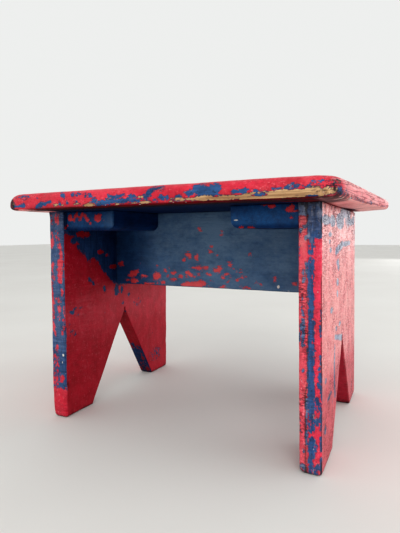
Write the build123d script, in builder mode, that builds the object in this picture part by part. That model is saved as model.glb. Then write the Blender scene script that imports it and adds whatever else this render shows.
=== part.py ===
from build123d import *
import math
import os

# A low hand-made wooden step stool: two leaning end boards with a sawn V notch
# that leaves two feet each, a board on edge between them, a wide top with
# rounded corners, and four corner cleats under it. Everything is nailed.
#
# Frame: +Z up, +X along the top's length, -Y the front, origin on the floor
# under the centre of the whole stool's outline. Millimetres.

# ---- driving dimensions -------------------------------------------------
seat_underside = 226.0      # height of the top's underside
top_thick = 17.0
top_depth = 292.0           # front edge to back edge
left_reach = 173.0          # middle of the structure to the top's left end
right_reach = 172.6         # the same to the right end, on the centre line
right_end_skew = 4.0        # degrees; that end is sawn out of square
top_corner_r = 22.0         # corners in plan
top_upper_round = 7.0       # round on the upper edge
top_lower_round = 4.5       # round on the lower edge

board_thick = 19.0
leg_depth = 217.0           # width of an end board, front to back
leg_half_span = 144.4       # middle to an end board's outer face, at the top
leg_lean = 0.72             # degrees outwards towards the floor
leg_edge_round = 1.5
foot_round = 2.5

left_notch_height = 103.5   # height of the V's peak
left_notch_half = 65.4      # half width at the floor
left_notch_y = 1.0
right_notch_height = 93.5
right_notch_half = 62.0
right_notch_y = 3.5
notch_peak_width = 1.6      # what the saw leaves at the peak

stretcher_y = -6.0          # middle of its thickness
stretcher_drop = 86.0       # how far it comes down from the top
stretcher_round = 1.2

cleat_width = 61.3
cleat_thick = 20.3
cleat_front_y = -103.0
cleat_rear_y = 101.0
cleat_round = 8.0           # lower inner edge

nail_r = 1.4
nail_head_r = 3.0
nail_head_thick = 1.1
nail_set = 0.5              # how deep a head lies below the face
nail_length = 45.0
short_nail_r = 1.2
short_nail_head_r = 2.6
short_nail_length = 29.5

# ---- derived ------------------------------------------------------------
half_depth = top_depth / 2
half_leg = leg_depth / 2
top_z = seat_underside + top_thick
skew = math.tan(math.radians(right_end_skew))
lean = math.tan(math.radians(leg_lean))
# the rounded back corner is what reaches furthest right
furthest_right = (
    right_reach
    + skew * (half_depth - top_corner_r)
    + top_corner_r * (1 - math.sqrt(1 + skew**2))
)
mid_x = (left_reach - furthest_right) / 2   # the structure's middle in this frame
inner_half = leg_half_span - board_thick    # inner face at the top
stretcher_front = stretcher_y - board_thick / 2
stretcher_back = stretcher_y + board_thick / 2
stretcher_bottom = seat_underside - stretcher_drop
cleat_bottom = seat_underside - cleat_thick
cleat_edge = inner_half - cleat_width       # a cleat's free edge


def inner_at(z):
    """From the structure's middle to an end board's inner face, at height z."""
    return inner_half + lean * (seat_underside - z)


def outer_at(z):
    """The same to the outer face."""
    return leg_half_span + lean * (seat_underside - z)


# ---- where the nails go: along the boards, or by height -------------------
leg_top_nail_ys = (-92.0, -30.0, 30.0, 92.0)
stretcher_top_nail_xs = (-62.0, 4.0, 66.0)
stretcher_end_nail_zs = (158.0, 190.0)
cleat_side_nail_ys = (-80.0, -46.0, 44.0, 78.0)
cleat_side_nail_z = cleat_bottom + 10.5
cleat_up_nail_ys = (-86.0, -36.0, 30.0, 84.0)
cleat_up_nail_x = inner_half - 27.0

leg_top_x = leg_half_span - board_thick / 2
top_left_spots = [Location((mid_x - leg_top_x, y, top_z - nail_set)) for y in leg_top_nail_ys]
top_right_spots = [Location((mid_x + leg_top_x, y, top_z - nail_set)) for y in leg_top_nail_ys]
top_middle_spots = [
    Location((mid_x + x, stretcher_y, top_z - nail_set)) for x in stretcher_top_nail_xs
]
end_left_spots = [
    Location((mid_x - outer_at(z) + nail_set, stretcher_y, z), (0, -90, 0))
    for z in stretcher_end_nail_zs
]
end_right_spots = [
    Location((mid_x + outer_at(z) - nail_set, stretcher_y, z), (0, 90, 0))
    for z in stretcher_end_nail_zs
]
side_left_spots = [
    Location((mid_x - outer_at(cleat_side_nail_z) + nail_set, y, cleat_side_nail_z), (0, -90, 0))
    for y in cleat_side_nail_ys
]
side_right_spots = [
    Location((mid_x + outer_at(cleat_side_nail_z) - nail_set, y, cleat_side_nail_z), (0, 90, 0))
    for y in cleat_side_nail_ys
]
up_left_spots = [
    Location((mid_x - cleat_up_nail_x, y, cleat_bottom + nail_set), (180, 0, 0))
    for y in cleat_up_nail_ys
]
up_right_spots = [
    Location((mid_x + cleat_up_nail_x, y, cleat_bottom + nail_set), (180, 0, 0))
    for y in cleat_up_nail_ys
]

# ---- one nail of each size, hanging on its head, point down --------------
with BuildPart() as nail:
    with BuildSketch(Plane.XZ):
        with BuildLine():
            Polyline(
                (0, 0),
                (nail_head_r, 0),
                (nail_head_r, -nail_head_thick),
                (nail_r, -nail_head_thick),
                (nail_r, -nail_length + 2.6 * nail_r),
                (0, -nail_length),
                close=True,
            )
        make_face()
    revolve(axis=Axis.Z)
    fillet(nail.edges().filter_by(GeomType.CIRCLE).group_by(Axis.Z)[-1], 0.3)

with BuildPart() as short_nail:
    with BuildSketch(Plane.XZ):
        with BuildLine():
            Polyline(
                (0, 0),
                (short_nail_head_r, 0),
                (short_nail_head_r, -nail_head_thick),
                (short_nail_r, -nail_head_thick),
                (short_nail_r, -short_nail_length + 2.6 * short_nail_r),
                (0, -short_nail_length),
                close=True,
            )
        make_face()
    revolve(axis=Axis.Z)
    fillet(short_nail.edges().filter_by(GeomType.CIRCLE).group_by(Axis.Z)[-1], 0.3)

# ---- the nails, in groups ------------------------------------------------
with BuildPart() as top_nails_left:
    with Locations(*top_left_spots):
        add(nail.part)

with BuildPart() as top_nails_right:
    with Locations(*top_right_spots):
        add(nail.part)

with BuildPart() as top_nails_stretcher:
    with Locations(*top_middle_spots):
        add(nail.part)

with BuildPart() as stretcher_nails_left:
    with Locations(*end_left_spots):
        add(nail.part)

with BuildPart() as stretcher_nails_right:
    with Locations(*end_right_spots):
        add(nail.part)

with BuildPart() as cleat_nails_left:
    with Locations(*side_left_spots):
        add(nail.part)

with BuildPart() as cleat_nails_right:
    with Locations(*side_right_spots):
        add(nail.part)

with BuildPart() as cleat_top_nails_left:
    with Locations(*up_left_spots):
        add(short_nail.part)

with BuildPart() as cleat_top_nails_right:
    with Locations(*up_right_spots):
        add(short_nail.part)

# ---- what a driven nail takes out of the wood: itself and the well above it
with BuildPart() as well:
    with BuildSketch(Plane.XY.offset(-nail_head_thick)):
        Circle(nail_head_r)
    extrude(amount=nail_head_thick + 2.0)
    add(nail.part)

with BuildPart() as short_well:
    with BuildSketch(Plane.XY.offset(-nail_head_thick)):
        Circle(short_nail_head_r)
    extrude(amount=nail_head_thick + 2.0)
    add(short_nail.part)

# ---- the top: rounded in plan, its right end out of square ---------------
with BuildPart() as top_board:
    with BuildSketch(Plane.XY.offset(seat_underside)) as top_plan:
        with BuildLine():
            Polyline(
                (mid_x - left_reach, -half_depth),
                (mid_x + right_reach - skew * half_depth, -half_depth),
                (mid_x + right_reach + skew * half_depth, half_depth),
                (mid_x - left_reach, half_depth),
                close=True,
            )
        make_face()
        fillet(top_plan.vertices(), top_corner_r)
    extrude(amount=top_thick)
    fillet(top_board.faces().sort_by(Axis.Z)[-1].edges(), top_upper_round)
    fillet(top_board.faces().sort_by(Axis.Z)[0].edges(), top_lower_round)
    with Locations(*top_left_spots, *top_right_spots, *top_middle_spots):
        add(well.part, mode=Mode.SUBTRACT)
    with Locations(*up_left_spots, *up_right_spots):
        add(short_well.part, mode=Mode.SUBTRACT)

# ---- the end boards: leaning, with a V sawn up from the floor ------------
with BuildPart() as left_end_board:
    with BuildSketch(Plane.XZ):
        with BuildLine():
            Polyline(
                (mid_x - inner_at(seat_underside), seat_underside),
                (mid_x - outer_at(seat_underside), seat_underside),
                (mid_x - outer_at(0), 0),
                (mid_x - inner_at(0), 0),
                close=True,
            )
        make_face()
    extrude(amount=half_leg, both=True)
    fillet(
        left_end_board.edges().filter_by(lambda edge: abs((edge @ 0).Z - (edge @ 1).Z) > 100),
        leg_edge_round,
    )
    fillet(left_end_board.faces().sort_by(Axis.Z)[0].edges(), foot_round)
    with BuildSketch(Plane.YZ.offset(mid_x - leg_half_span)):
        with BuildLine():
            Polyline(
                (left_notch_y - left_notch_half, 0),
                (left_notch_y - notch_peak_width / 2, left_notch_height),
                (left_notch_y + notch_peak_width / 2, left_notch_height),
                (left_notch_y + left_notch_half, 0),
                (left_notch_y + left_notch_half, -5),
                (left_notch_y - left_notch_half, -5),
                close=True,
            )
        make_face()
    extrude(amount=2 * board_thick, both=True, mode=Mode.SUBTRACT)
    with Locations(*top_left_spots, *end_left_spots, *side_left_spots):
        add(well.part, mode=Mode.SUBTRACT)

with BuildPart() as right_end_board:
    with BuildSketch(Plane.XZ):
        with BuildLine():
            Polyline(
                (mid_x + inner_at(seat_underside), seat_underside),
                (mid_x + outer_at(seat_underside), seat_underside),
                (mid_x + outer_at(0), 0),
                (mid_x + inner_at(0), 0),
                close=True,
            )
        make_face()
    extrude(amount=half_leg, both=True)
    fillet(
        right_end_board.edges().filter_by(lambda edge: abs((edge @ 0).Z - (edge @ 1).Z) > 100),
        leg_edge_round,
    )
    fillet(right_end_board.faces().sort_by(Axis.Z)[0].edges(), foot_round)
    with BuildSketch(Plane.YZ.offset(mid_x + leg_half_span)):
        with BuildLine():
            Polyline(
                (right_notch_y - right_notch_half, 0),
                (right_notch_y - notch_peak_width / 2, right_notch_height),
                (right_notch_y + notch_peak_width / 2, right_notch_height),
                (right_notch_y + right_notch_half, 0),
                (right_notch_y + right_notch_half, -5),
                (right_notch_y - right_notch_half, -5),
                close=True,
            )
        make_face()
    extrude(amount=2 * board_thick, both=True, mode=Mode.SUBTRACT)
    with Locations(*top_right_spots, *end_right_spots, *side_right_spots):
        add(well.part, mode=Mode.SUBTRACT)

# ---- the board on edge between them --------------------------------------
with BuildPart() as stretcher:
    with BuildSketch(Plane.XZ.offset(-stretcher_y)):
        with BuildLine():
            Polyline(
                (mid_x - inner_at(seat_underside), seat_underside),
                (mid_x + inner_at(seat_underside), seat_underside),
                (mid_x + inner_at(stretcher_bottom), stretcher_bottom),
                (mid_x - inner_at(stretcher_bottom), stretcher_bottom),
                close=True,
            )
        make_face()
    extrude(amount=board_thick / 2, both=True)
    fillet(
        stretcher.faces().sort_by(Axis.Z)[0].edges().filter_by(Axis.X),
        stretcher_round,
    )
    with Locations(*top_middle_spots, *end_left_spots, *end_right_spots):
        add(well.part, mode=Mode.SUBTRACT)

# ---- four cleats, two in front of the stretcher and two behind it --------
with BuildPart() as front_left_cleat:
    with BuildSketch(Plane.XZ.offset(-cleat_front_y)):
        with BuildLine():
            Polyline(
                (mid_x - inner_at(seat_underside), seat_underside),
                (mid_x - cleat_edge, seat_underside),
                (mid_x - cleat_edge, cleat_bottom),
                (mid_x - inner_at(cleat_bottom), cleat_bottom),
                close=True,
            )
        make_face()
    extrude(amount=cleat_front_y - stretcher_front)
    fillet(
        front_left_cleat.edges().filter_by(Axis.Y).group_by(Axis.Z)[0].sort_by(Axis.X)[-1],
        cleat_round,
    )
    with Locations(*side_left_spots):
        add(well.part, mode=Mode.SUBTRACT)
    with Locations(*up_left_spots):
        add(short_well.part, mode=Mode.SUBTRACT)

with BuildPart() as front_right_cleat:
    with BuildSketch(Plane.XZ.offset(-cleat_front_y)):
        with BuildLine():
            Polyline(
                (mid_x + inner_at(seat_underside), seat_underside),
                (mid_x + cleat_edge, seat_underside),
                (mid_x + cleat_edge, cleat_bottom),
                (mid_x + inner_at(cleat_bottom), cleat_bottom),
                close=True,
            )
        make_face()
    extrude(amount=cleat_front_y - stretcher_front)
    fillet(
        front_right_cleat.edges().filter_by(Axis.Y).group_by(Axis.Z)[0].sort_by(Axis.X)[0],
        cleat_round,
    )
    with Locations(*side_right_spots):
        add(well.part, mode=Mode.SUBTRACT)
    with Locations(*up_right_spots):
        add(short_well.part, mode=Mode.SUBTRACT)

with BuildPart() as rear_left_cleat:
    with BuildSketch(Plane.XZ.offset(-stretcher_back)):
        with BuildLine():
            Polyline(
                (mid_x - inner_at(seat_underside), seat_underside),
                (mid_x - cleat_edge, seat_underside),
                (mid_x - cleat_edge, cleat_bottom),
                (mid_x - inner_at(cleat_bottom), cleat_bottom),
                close=True,
            )
        make_face()
    extrude(amount=stretcher_back - cleat_rear_y)
    fillet(
        rear_left_cleat.edges().filter_by(Axis.Y).group_by(Axis.Z)[0].sort_by(Axis.X)[-1],
        cleat_round,
    )
    with Locations(*side_left_spots):
        add(well.part, mode=Mode.SUBTRACT)
    with Locations(*up_left_spots):
        add(short_well.part, mode=Mode.SUBTRACT)

with BuildPart() as rear_right_cleat:
    with BuildSketch(Plane.XZ.offset(-stretcher_back)):
        with BuildLine():
            Polyline(
                (mid_x + inner_at(seat_underside), seat_underside),
                (mid_x + cleat_edge, seat_underside),
                (mid_x + cleat_edge, cleat_bottom),
                (mid_x + inner_at(cleat_bottom), cleat_bottom),
                close=True,
            )
        make_face()
    extrude(amount=stretcher_back - cleat_rear_y)
    fillet(
        rear_right_cleat.edges().filter_by(Axis.Y).group_by(Axis.Z)[0].sort_by(Axis.X)[0],
        cleat_round,
    )
    with Locations(*side_right_spots):
        add(well.part, mode=Mode.SUBTRACT)
    with Locations(*up_right_spots):
        add(short_well.part, mode=Mode.SUBTRACT)

# ---- labels and files ----------------------------------------------------
top_board.part.label = "top_board"
left_end_board.part.label = "left_end_board"
right_end_board.part.label = "right_end_board"
stretcher.part.label = "stretcher"
front_left_cleat.part.label = "front_left_cleat"
front_right_cleat.part.label = "front_right_cleat"
rear_left_cleat.part.label = "rear_left_cleat"
rear_right_cleat.part.label = "rear_right_cleat"
top_nails_left.part.label = "top_nails_left"
top_nails_right.part.label = "top_nails_right"
top_nails_stretcher.part.label = "top_nails_stretcher"
stretcher_nails_left.part.label = "stretcher_nails_left"
stretcher_nails_right.part.label = "stretcher_nails_right"
cleat_nails_left.part.label = "cleat_nails_left"
cleat_nails_right.part.label = "cleat_nails_right"
cleat_top_nails_left.part.label = "cleat_top_nails_left"
cleat_top_nails_right.part.label = "cleat_top_nails_right"

os.makedirs("parts", exist_ok=True)
export_step(top_board.part, "parts/top_board.step")
export_step(left_end_board.part, "parts/left_end_board.step")
export_step(right_end_board.part, "parts/right_end_board.step")
export_step(stretcher.part, "parts/stretcher.step")
export_step(front_left_cleat.part, "parts/front_left_cleat.step")
export_step(front_right_cleat.part, "parts/front_right_cleat.step")
export_step(rear_left_cleat.part, "parts/rear_left_cleat.step")
export_step(rear_right_cleat.part, "parts/rear_right_cleat.step")
export_step(top_nails_left.part, "parts/top_nails_left.step")
export_step(top_nails_right.part, "parts/top_nails_right.step")
export_step(top_nails_stretcher.part, "parts/top_nails_stretcher.step")
export_step(stretcher_nails_left.part, "parts/stretcher_nails_left.step")
export_step(stretcher_nails_right.part, "parts/stretcher_nails_right.step")
export_step(cleat_nails_left.part, "parts/cleat_nails_left.step")
export_step(cleat_nails_right.part, "parts/cleat_nails_right.step")
export_step(cleat_top_nails_left.part, "parts/cleat_top_nails_left.step")
export_step(cleat_top_nails_right.part, "parts/cleat_top_nails_right.step")

for piece in (
    top_board, left_end_board, right_end_board, stretcher, front_left_cleat,
    front_right_cleat, rear_left_cleat, rear_right_cleat,
):
    box = piece.part.bounding_box()
    print(piece.part.label, [round(v, 2) for v in (*box.min, *box.max)])
print("middle of the structure at x", round(mid_x, 3))
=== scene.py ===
import math

import bpy
import numpy as np
from mathutils import Matrix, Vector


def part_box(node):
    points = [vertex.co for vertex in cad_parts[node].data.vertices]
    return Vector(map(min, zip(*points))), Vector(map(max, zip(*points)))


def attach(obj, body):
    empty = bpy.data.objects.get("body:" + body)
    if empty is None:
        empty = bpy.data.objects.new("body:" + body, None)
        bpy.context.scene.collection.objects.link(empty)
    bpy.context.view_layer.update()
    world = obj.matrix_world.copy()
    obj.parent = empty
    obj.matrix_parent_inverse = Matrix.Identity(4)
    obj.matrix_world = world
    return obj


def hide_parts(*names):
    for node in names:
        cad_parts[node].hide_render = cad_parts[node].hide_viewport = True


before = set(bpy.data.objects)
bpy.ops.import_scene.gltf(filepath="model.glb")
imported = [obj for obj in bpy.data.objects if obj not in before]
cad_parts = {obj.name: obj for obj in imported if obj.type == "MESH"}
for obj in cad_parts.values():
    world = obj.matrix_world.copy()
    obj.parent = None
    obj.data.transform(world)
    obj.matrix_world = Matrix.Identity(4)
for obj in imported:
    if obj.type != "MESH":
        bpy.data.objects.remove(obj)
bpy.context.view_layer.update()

scene = bpy.context.scene
scene.view_settings.view_transform = "Standard"
scene.view_settings.look = "Medium High Contrast"

# ---------------------------------------------------------------------------
# Sizes, in millimetres, in the frame of the CAD model. They come from its boxes.
# ---------------------------------------------------------------------------


def box_mm(node):
    low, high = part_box(node)
    return np.array(low) * 1000.0, np.array(high) * 1000.0


TOP_LO, TOP_HI = box_mm("top_board")
LEG_LO, LEG_HI = box_mm("left_end_board")
RLEG_LO, RLEG_HI = box_mm("right_end_board")
STR_LO, STR_HI = box_mm("stretcher")
MID = (LEG_LO[0] + RLEG_HI[0]) / 2          # the structure's middle
LEAN = math.tan(math.radians(0.72))
SEAT = float(TOP_LO[2])                     # the top's underside
OUTER = RLEG_HI[0] - MID - LEAN * SEAT      # to an end board's outer face, under the top
THICK = 19.0
INNER = OUTER - THICK
HALF_LEG = float(LEG_HI[1])
FRONT = -HALF_LEG
TOPF = float(TOP_LO[1])

# ---------------------------------------------------------------------------
# Noise and shapes over points, in numpy
# ---------------------------------------------------------------------------


def _hash(ix, iy, iz, seed):
    h = (
        ix.astype(np.uint32) * np.uint32(374761393)
        + iy.astype(np.uint32) * np.uint32(668265263)
        + iz.astype(np.uint32) * np.uint32(2147483647 & 0x7FEB352D)
        + np.uint32((seed * 2654435761) & 0xFFFFFFFF)
    )
    h = (h ^ (h >> np.uint32(13))) * np.uint32(1274126177)
    h = (h ^ (h >> np.uint32(16))) * np.uint32(2246822519)
    h = h ^ (h >> np.uint32(15))
    return h.astype(np.float64) / 4294967295.0 * 2.0 - 1.0


def noise(p, size, seed=0, stretch=(1, 1, 1)):
    """Smooth noise from -1 to 1, its lumps about size mm across."""
    with np.errstate(over="ignore"):
        q = p / (size * np.array(stretch, float)) + 1000.0
        i = np.floor(q).astype(np.int64)
        f = q - i
        f = f * f * f * (f * (f * 6 - 15) + 10)
        out = 0.0
        for dx in (0, 1):
            for dy in (0, 1):
                for dz in (0, 1):
                    w = (
                        (f[:, 0] if dx else 1 - f[:, 0])
                        * (f[:, 1] if dy else 1 - f[:, 1])
                        * (f[:, 2] if dz else 1 - f[:, 2])
                    )
                    out = out + w * _hash(i[:, 0] + dx, i[:, 1] + dy, i[:, 2] + dz, seed)
        return out


def fbm(p, size, octaves=3, seed=0, stretch=(1, 1, 1)):
    out, amp, total = 0.0, 1.0, 0.0
    for k in range(octaves):
        out = out + amp * noise(p, size / 2**k, seed + 31 * k, stretch)
        total += amp
        amp *= 0.5
    return out / total * 1.6


def smooth(a, b, x):
    t = np.clip((x - a) / (b - a), 0, 1)
    return t * t * (3 - 2 * t)


def rmax(a, b, r):
    """Intersection of two solids' distances with an edge rounded to radius r."""
    return np.minimum(np.maximum(a, b), -r) + np.hypot(np.maximum(a + r, 0), np.maximum(b + r, 0))


def ellipses(u, v, items):
    """The largest depth inside any ellipse (u, v, half width, half height, turn in degrees)."""
    out = np.full(len(u), -9.0)
    for e in items:
        cu, cv, ru, rv = e[:4]
        t = math.radians(e[4]) if len(e) > 4 else 0.0
        c, s = math.cos(t), math.sin(t)
        du, dv = u - cu, v - cv
        a, b = (du * c + dv * s), (-du * s + dv * c)
        k = np.hypot(a / ru, b / rv)
        grow = np.hypot(a, b) / np.maximum(k, 1e-6)      # that way's own radius
        out = np.maximum(out, np.where(k < 1e-3, min(ru, rv), (1 - k) * np.minimum(grow, 2 * min(ru, rv))))
    return out


def strokes(u, v, items):
    """The largest depth inside any stroke (u0, v0, u1, v1, radius)."""
    out = np.full(len(u), -9.0)
    for u0, v0, u1, v1, r in items:
        au, av = u - u0, v - v0
        bu, bv = u1 - u0, v1 - v0
        t = np.clip((au * bu + av * bv) / (bu * bu + bv * bv), 0, 1)
        out = np.maximum(out, r - np.hypot(au - bu * t, av - bv * t))
    return out


def boxes(u, v, items):
    """The largest depth inside any box (low u, high u, low v, high v)."""
    out = np.full(len(u), -9.0)
    for a, b, c, d in items:
        out = np.maximum(out, np.minimum(np.minimum(u - a, b - u), np.minimum(v - c, d - v)))
    return out


def under(u, v, points):
    """How far v lies above a broken line of (u, v) points."""
    xs, ys = zip(*points)
    return v - np.interp(u, xs, ys)


# ---------------------------------------------------------------------------
# Board meshes: even quads over a board's faces, then moved on to its real,
# rounded and worn surface
# ---------------------------------------------------------------------------


def spaced(length, step, near=(0.45, 0.9, 1.4, 1.9, 2.4)):
    """Positions from 0 to length, closer together at both ends."""
    edge = [0.0]
    for d in near:
        edge.append(edge[-1] + min(d * step / 1.6, step))
    edge = [e for e in edge if e < length * 0.28]
    inner = length - 2 * edge[-1]
    n = max(1, round(inner / step))
    middle = edge[-1] + inner * np.arange(1, n) / n
    return np.array(edge + list(middle) + [length - e for e in reversed(edge)])


class Shell:
    """Grids of points that are welded where they meet."""

    def __init__(self):
        self.points, self.quads, self.corners, self.total = [], [], [], 0

    def patch(self, grid, uv, flip=False):
        rows, cols = grid.shape[:2]
        idx = np.arange(rows * cols).reshape(rows, cols) + self.total
        q = np.stack([idx[:-1, :-1], idx[:-1, 1:], idx[1:, 1:], idx[1:, :-1]], -1).reshape(-1, 4)
        if flip:
            q = q[:, ::-1]
        self.points.append(grid.reshape(-1, 3))
        self.quads.append(q)
        self.corners.append(uv.reshape(-1, 2))
        self.total += rows * cols

    def done(self):
        pts, quads, uv = np.concatenate(self.points), np.concatenate(self.quads), np.concatenate(self.corners)
        keys = np.round(pts * 1000).astype(np.int64)
        _, first, inverse = np.unique(keys, axis=0, return_index=True, return_inverse=True)
        inverse = inverse.reshape(-1)
        return pts[first], inverse[quads], uv[quads]


def island(u, v, at, scale, turned=False):
    """A grid of map places for rows v and columns u, in mm, put at a corner of the sheet."""
    U, V = np.meshgrid(u - u[0], v - v[0])
    if turned:
        U, V = V, U
    return np.stack([at[0] + U * scale[0], at[1] + V * scale[1]], -1)


def settle(points, depth, rounds=6, eps=0.05):
    """Moves the points on to the surface where depth is zero. Returns them with that surface's normals."""
    p = points.copy()
    axes = np.eye(3) * eps

    def slope(p):
        g = np.stack([depth(p + a) - depth(p - a) for a in axes], -1) / (2 * eps)
        return g

    for _ in range(rounds):
        g = slope(p)
        n2 = np.maximum((g * g).sum(1), 0.2)
        p = p - (depth(p) / n2)[:, None] * g
    g = slope(p)
    return p, g / np.maximum(np.linalg.norm(g, axis=1), 1e-6)[:, None]


def make_mesh(name, pts_mm, quads, uv, fields):
    """A mesh with its map and its painting fields."""
    blank = np.zeros(len(pts_mm))
    fields = {"painted_shade": blank, "chalk": blank - 4.0, "craze": blank + 0.35, **fields}
    me = bpy.data.meshes.new(name)
    n, m = len(pts_mm), len(quads)
    me.vertices.add(n)
    me.vertices.foreach_set("co", (pts_mm / 1000.0).astype(np.float32).ravel())
    me.loops.add(4 * m)
    me.loops.foreach_set("vertex_index", quads.astype(np.int32).ravel())
    me.polygons.add(m)
    me.polygons.foreach_set("loop_start", (np.arange(m) * 4).astype(np.int32))
    me.polygons.foreach_set("loop_total", np.full(m, 4, np.int32))
    me.polygons.foreach_set("use_smooth", np.ones(m, bool))
    layer = me.uv_layers.new(name="OFBake", do_init=False)
    uv = uv.reshape(-1, 2)
    low, high = uv.min(0), uv.max(0)
    layer.uv.foreach_set("vector", (0.003 + 0.994 * (uv - low) / (high - low)).astype(np.float32).ravel())
    for key, values in fields.items():
        a = me.attributes.new(key, "FLOAT", "POINT")
        a.data.foreach_set("value", np.asarray(values, np.float32))
    me.update(calc_edges=True)
    me.validate()
    ob = bpy.data.objects.new(name, me)
    scene.collection.objects.link(ob)
    return ob


def box_shell(lo, hi, steps, order="top", skew=None):
    """Six grids round a box. skew(p) may lean the grid's lines."""
    lo, hi = np.array(lo, float), np.array(hi, float)
    xs, ys, zs = (lo[i] + spaced(hi[i] - lo[i], steps[i]) for i in range(3))
    L = hi - lo
    sh = Shell()
    g = 4.0
    wide = 1.7 if min(L) < 25 else 1.0

    def grid(a, b, axis_a, axis_b, fixed_axis, fixed):
        A, B = np.meshgrid(a, b)
        out = np.zeros(A.shape + (3,))
        out[..., axis_a], out[..., axis_b], out[..., fixed_axis] = A, B, fixed
        return skew(out) if skew else out

    if order == "top":           # wide faces up and down
        s = 0.72
        sh.patch(grid(xs, ys, 0, 1, 2, hi[2]), island(xs, ys, (0, 0), (1, 1)))
        sh.patch(grid(xs, ys, 0, 1, 2, lo[2]), island(xs, ys, (0, L[1] + g), (1, s)), True)
        x0 = L[0] + g
        w = L[2] * wide + g
        sh.patch(grid(xs, zs, 0, 2, 1, lo[1]), island(xs, zs, (x0, 0), (wide, 1), True))
        sh.patch(grid(xs, zs, 0, 2, 1, hi[1]), island(xs, zs, (x0 + w, 0), (wide, 1), True), True)
        t = (L[1] * (1 + s) - L[0]) / L[1]
        t = min(t, 1.0)
        sh.patch(grid(ys, zs, 1, 2, 0, hi[0]), island(ys, zs, (x0, L[0] + g), (wide, t), True))
        sh.patch(grid(ys, zs, 1, 2, 0, lo[0]), island(ys, zs, (x0 + w, L[0] + g), (wide, t), True), True)
    else:                        # a board on edge: wide faces front and back
        sh.patch(grid(xs, zs, 0, 2, 1, lo[1]), island(xs, zs, (0, 0), (1, 1)))
        sh.patch(grid(xs, zs, 0, 2, 1, hi[1]), island(xs, zs, (0, L[2] + g), (1, 1)), True)
        y0 = 2 * (L[2] + g)
        sh.patch(grid(xs, ys, 0, 1, 2, hi[2]), island(xs, ys, (0, y0), (1, 1)))
        sh.patch(grid(xs, ys, 0, 1, 2, lo[2]), island(xs, ys, (0, y0 + L[1] + g), (1, 1)), True)
        x0 = L[0] + g
        sh.patch(grid(ys, zs, 1, 2, 0, hi[0]), island(ys, zs, (x0, 0), (1, 1)))
        sh.patch(grid(ys, zs, 1, 2, 0, lo[0]), island(ys, zs, (x0, L[2] + g), (1, 1)), True)
    return sh.done()


def second_largest(ds):
    s = np.sort(np.stack(ds, -1), axis=1)
    return s[:, -2]


def bumps(p, n, depth):
    """Slow unevenness of hand-planed, much-used wood."""
    return p + n * depth[:, None]


def dents(p, items):
    """Smooth hollows at (x, y, z, radius, depth)."""
    out = np.zeros(len(p))
    for x, y, z, r, d in items:
        k = ((p - np.array([x, y, z])) ** 2).sum(1) / (r * r)
        out -= d * np.exp(-k * 1.6)
    return out


# ---------------------------------------------------------------------------
# Shader nodes, written as sums
# ---------------------------------------------------------------------------


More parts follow.
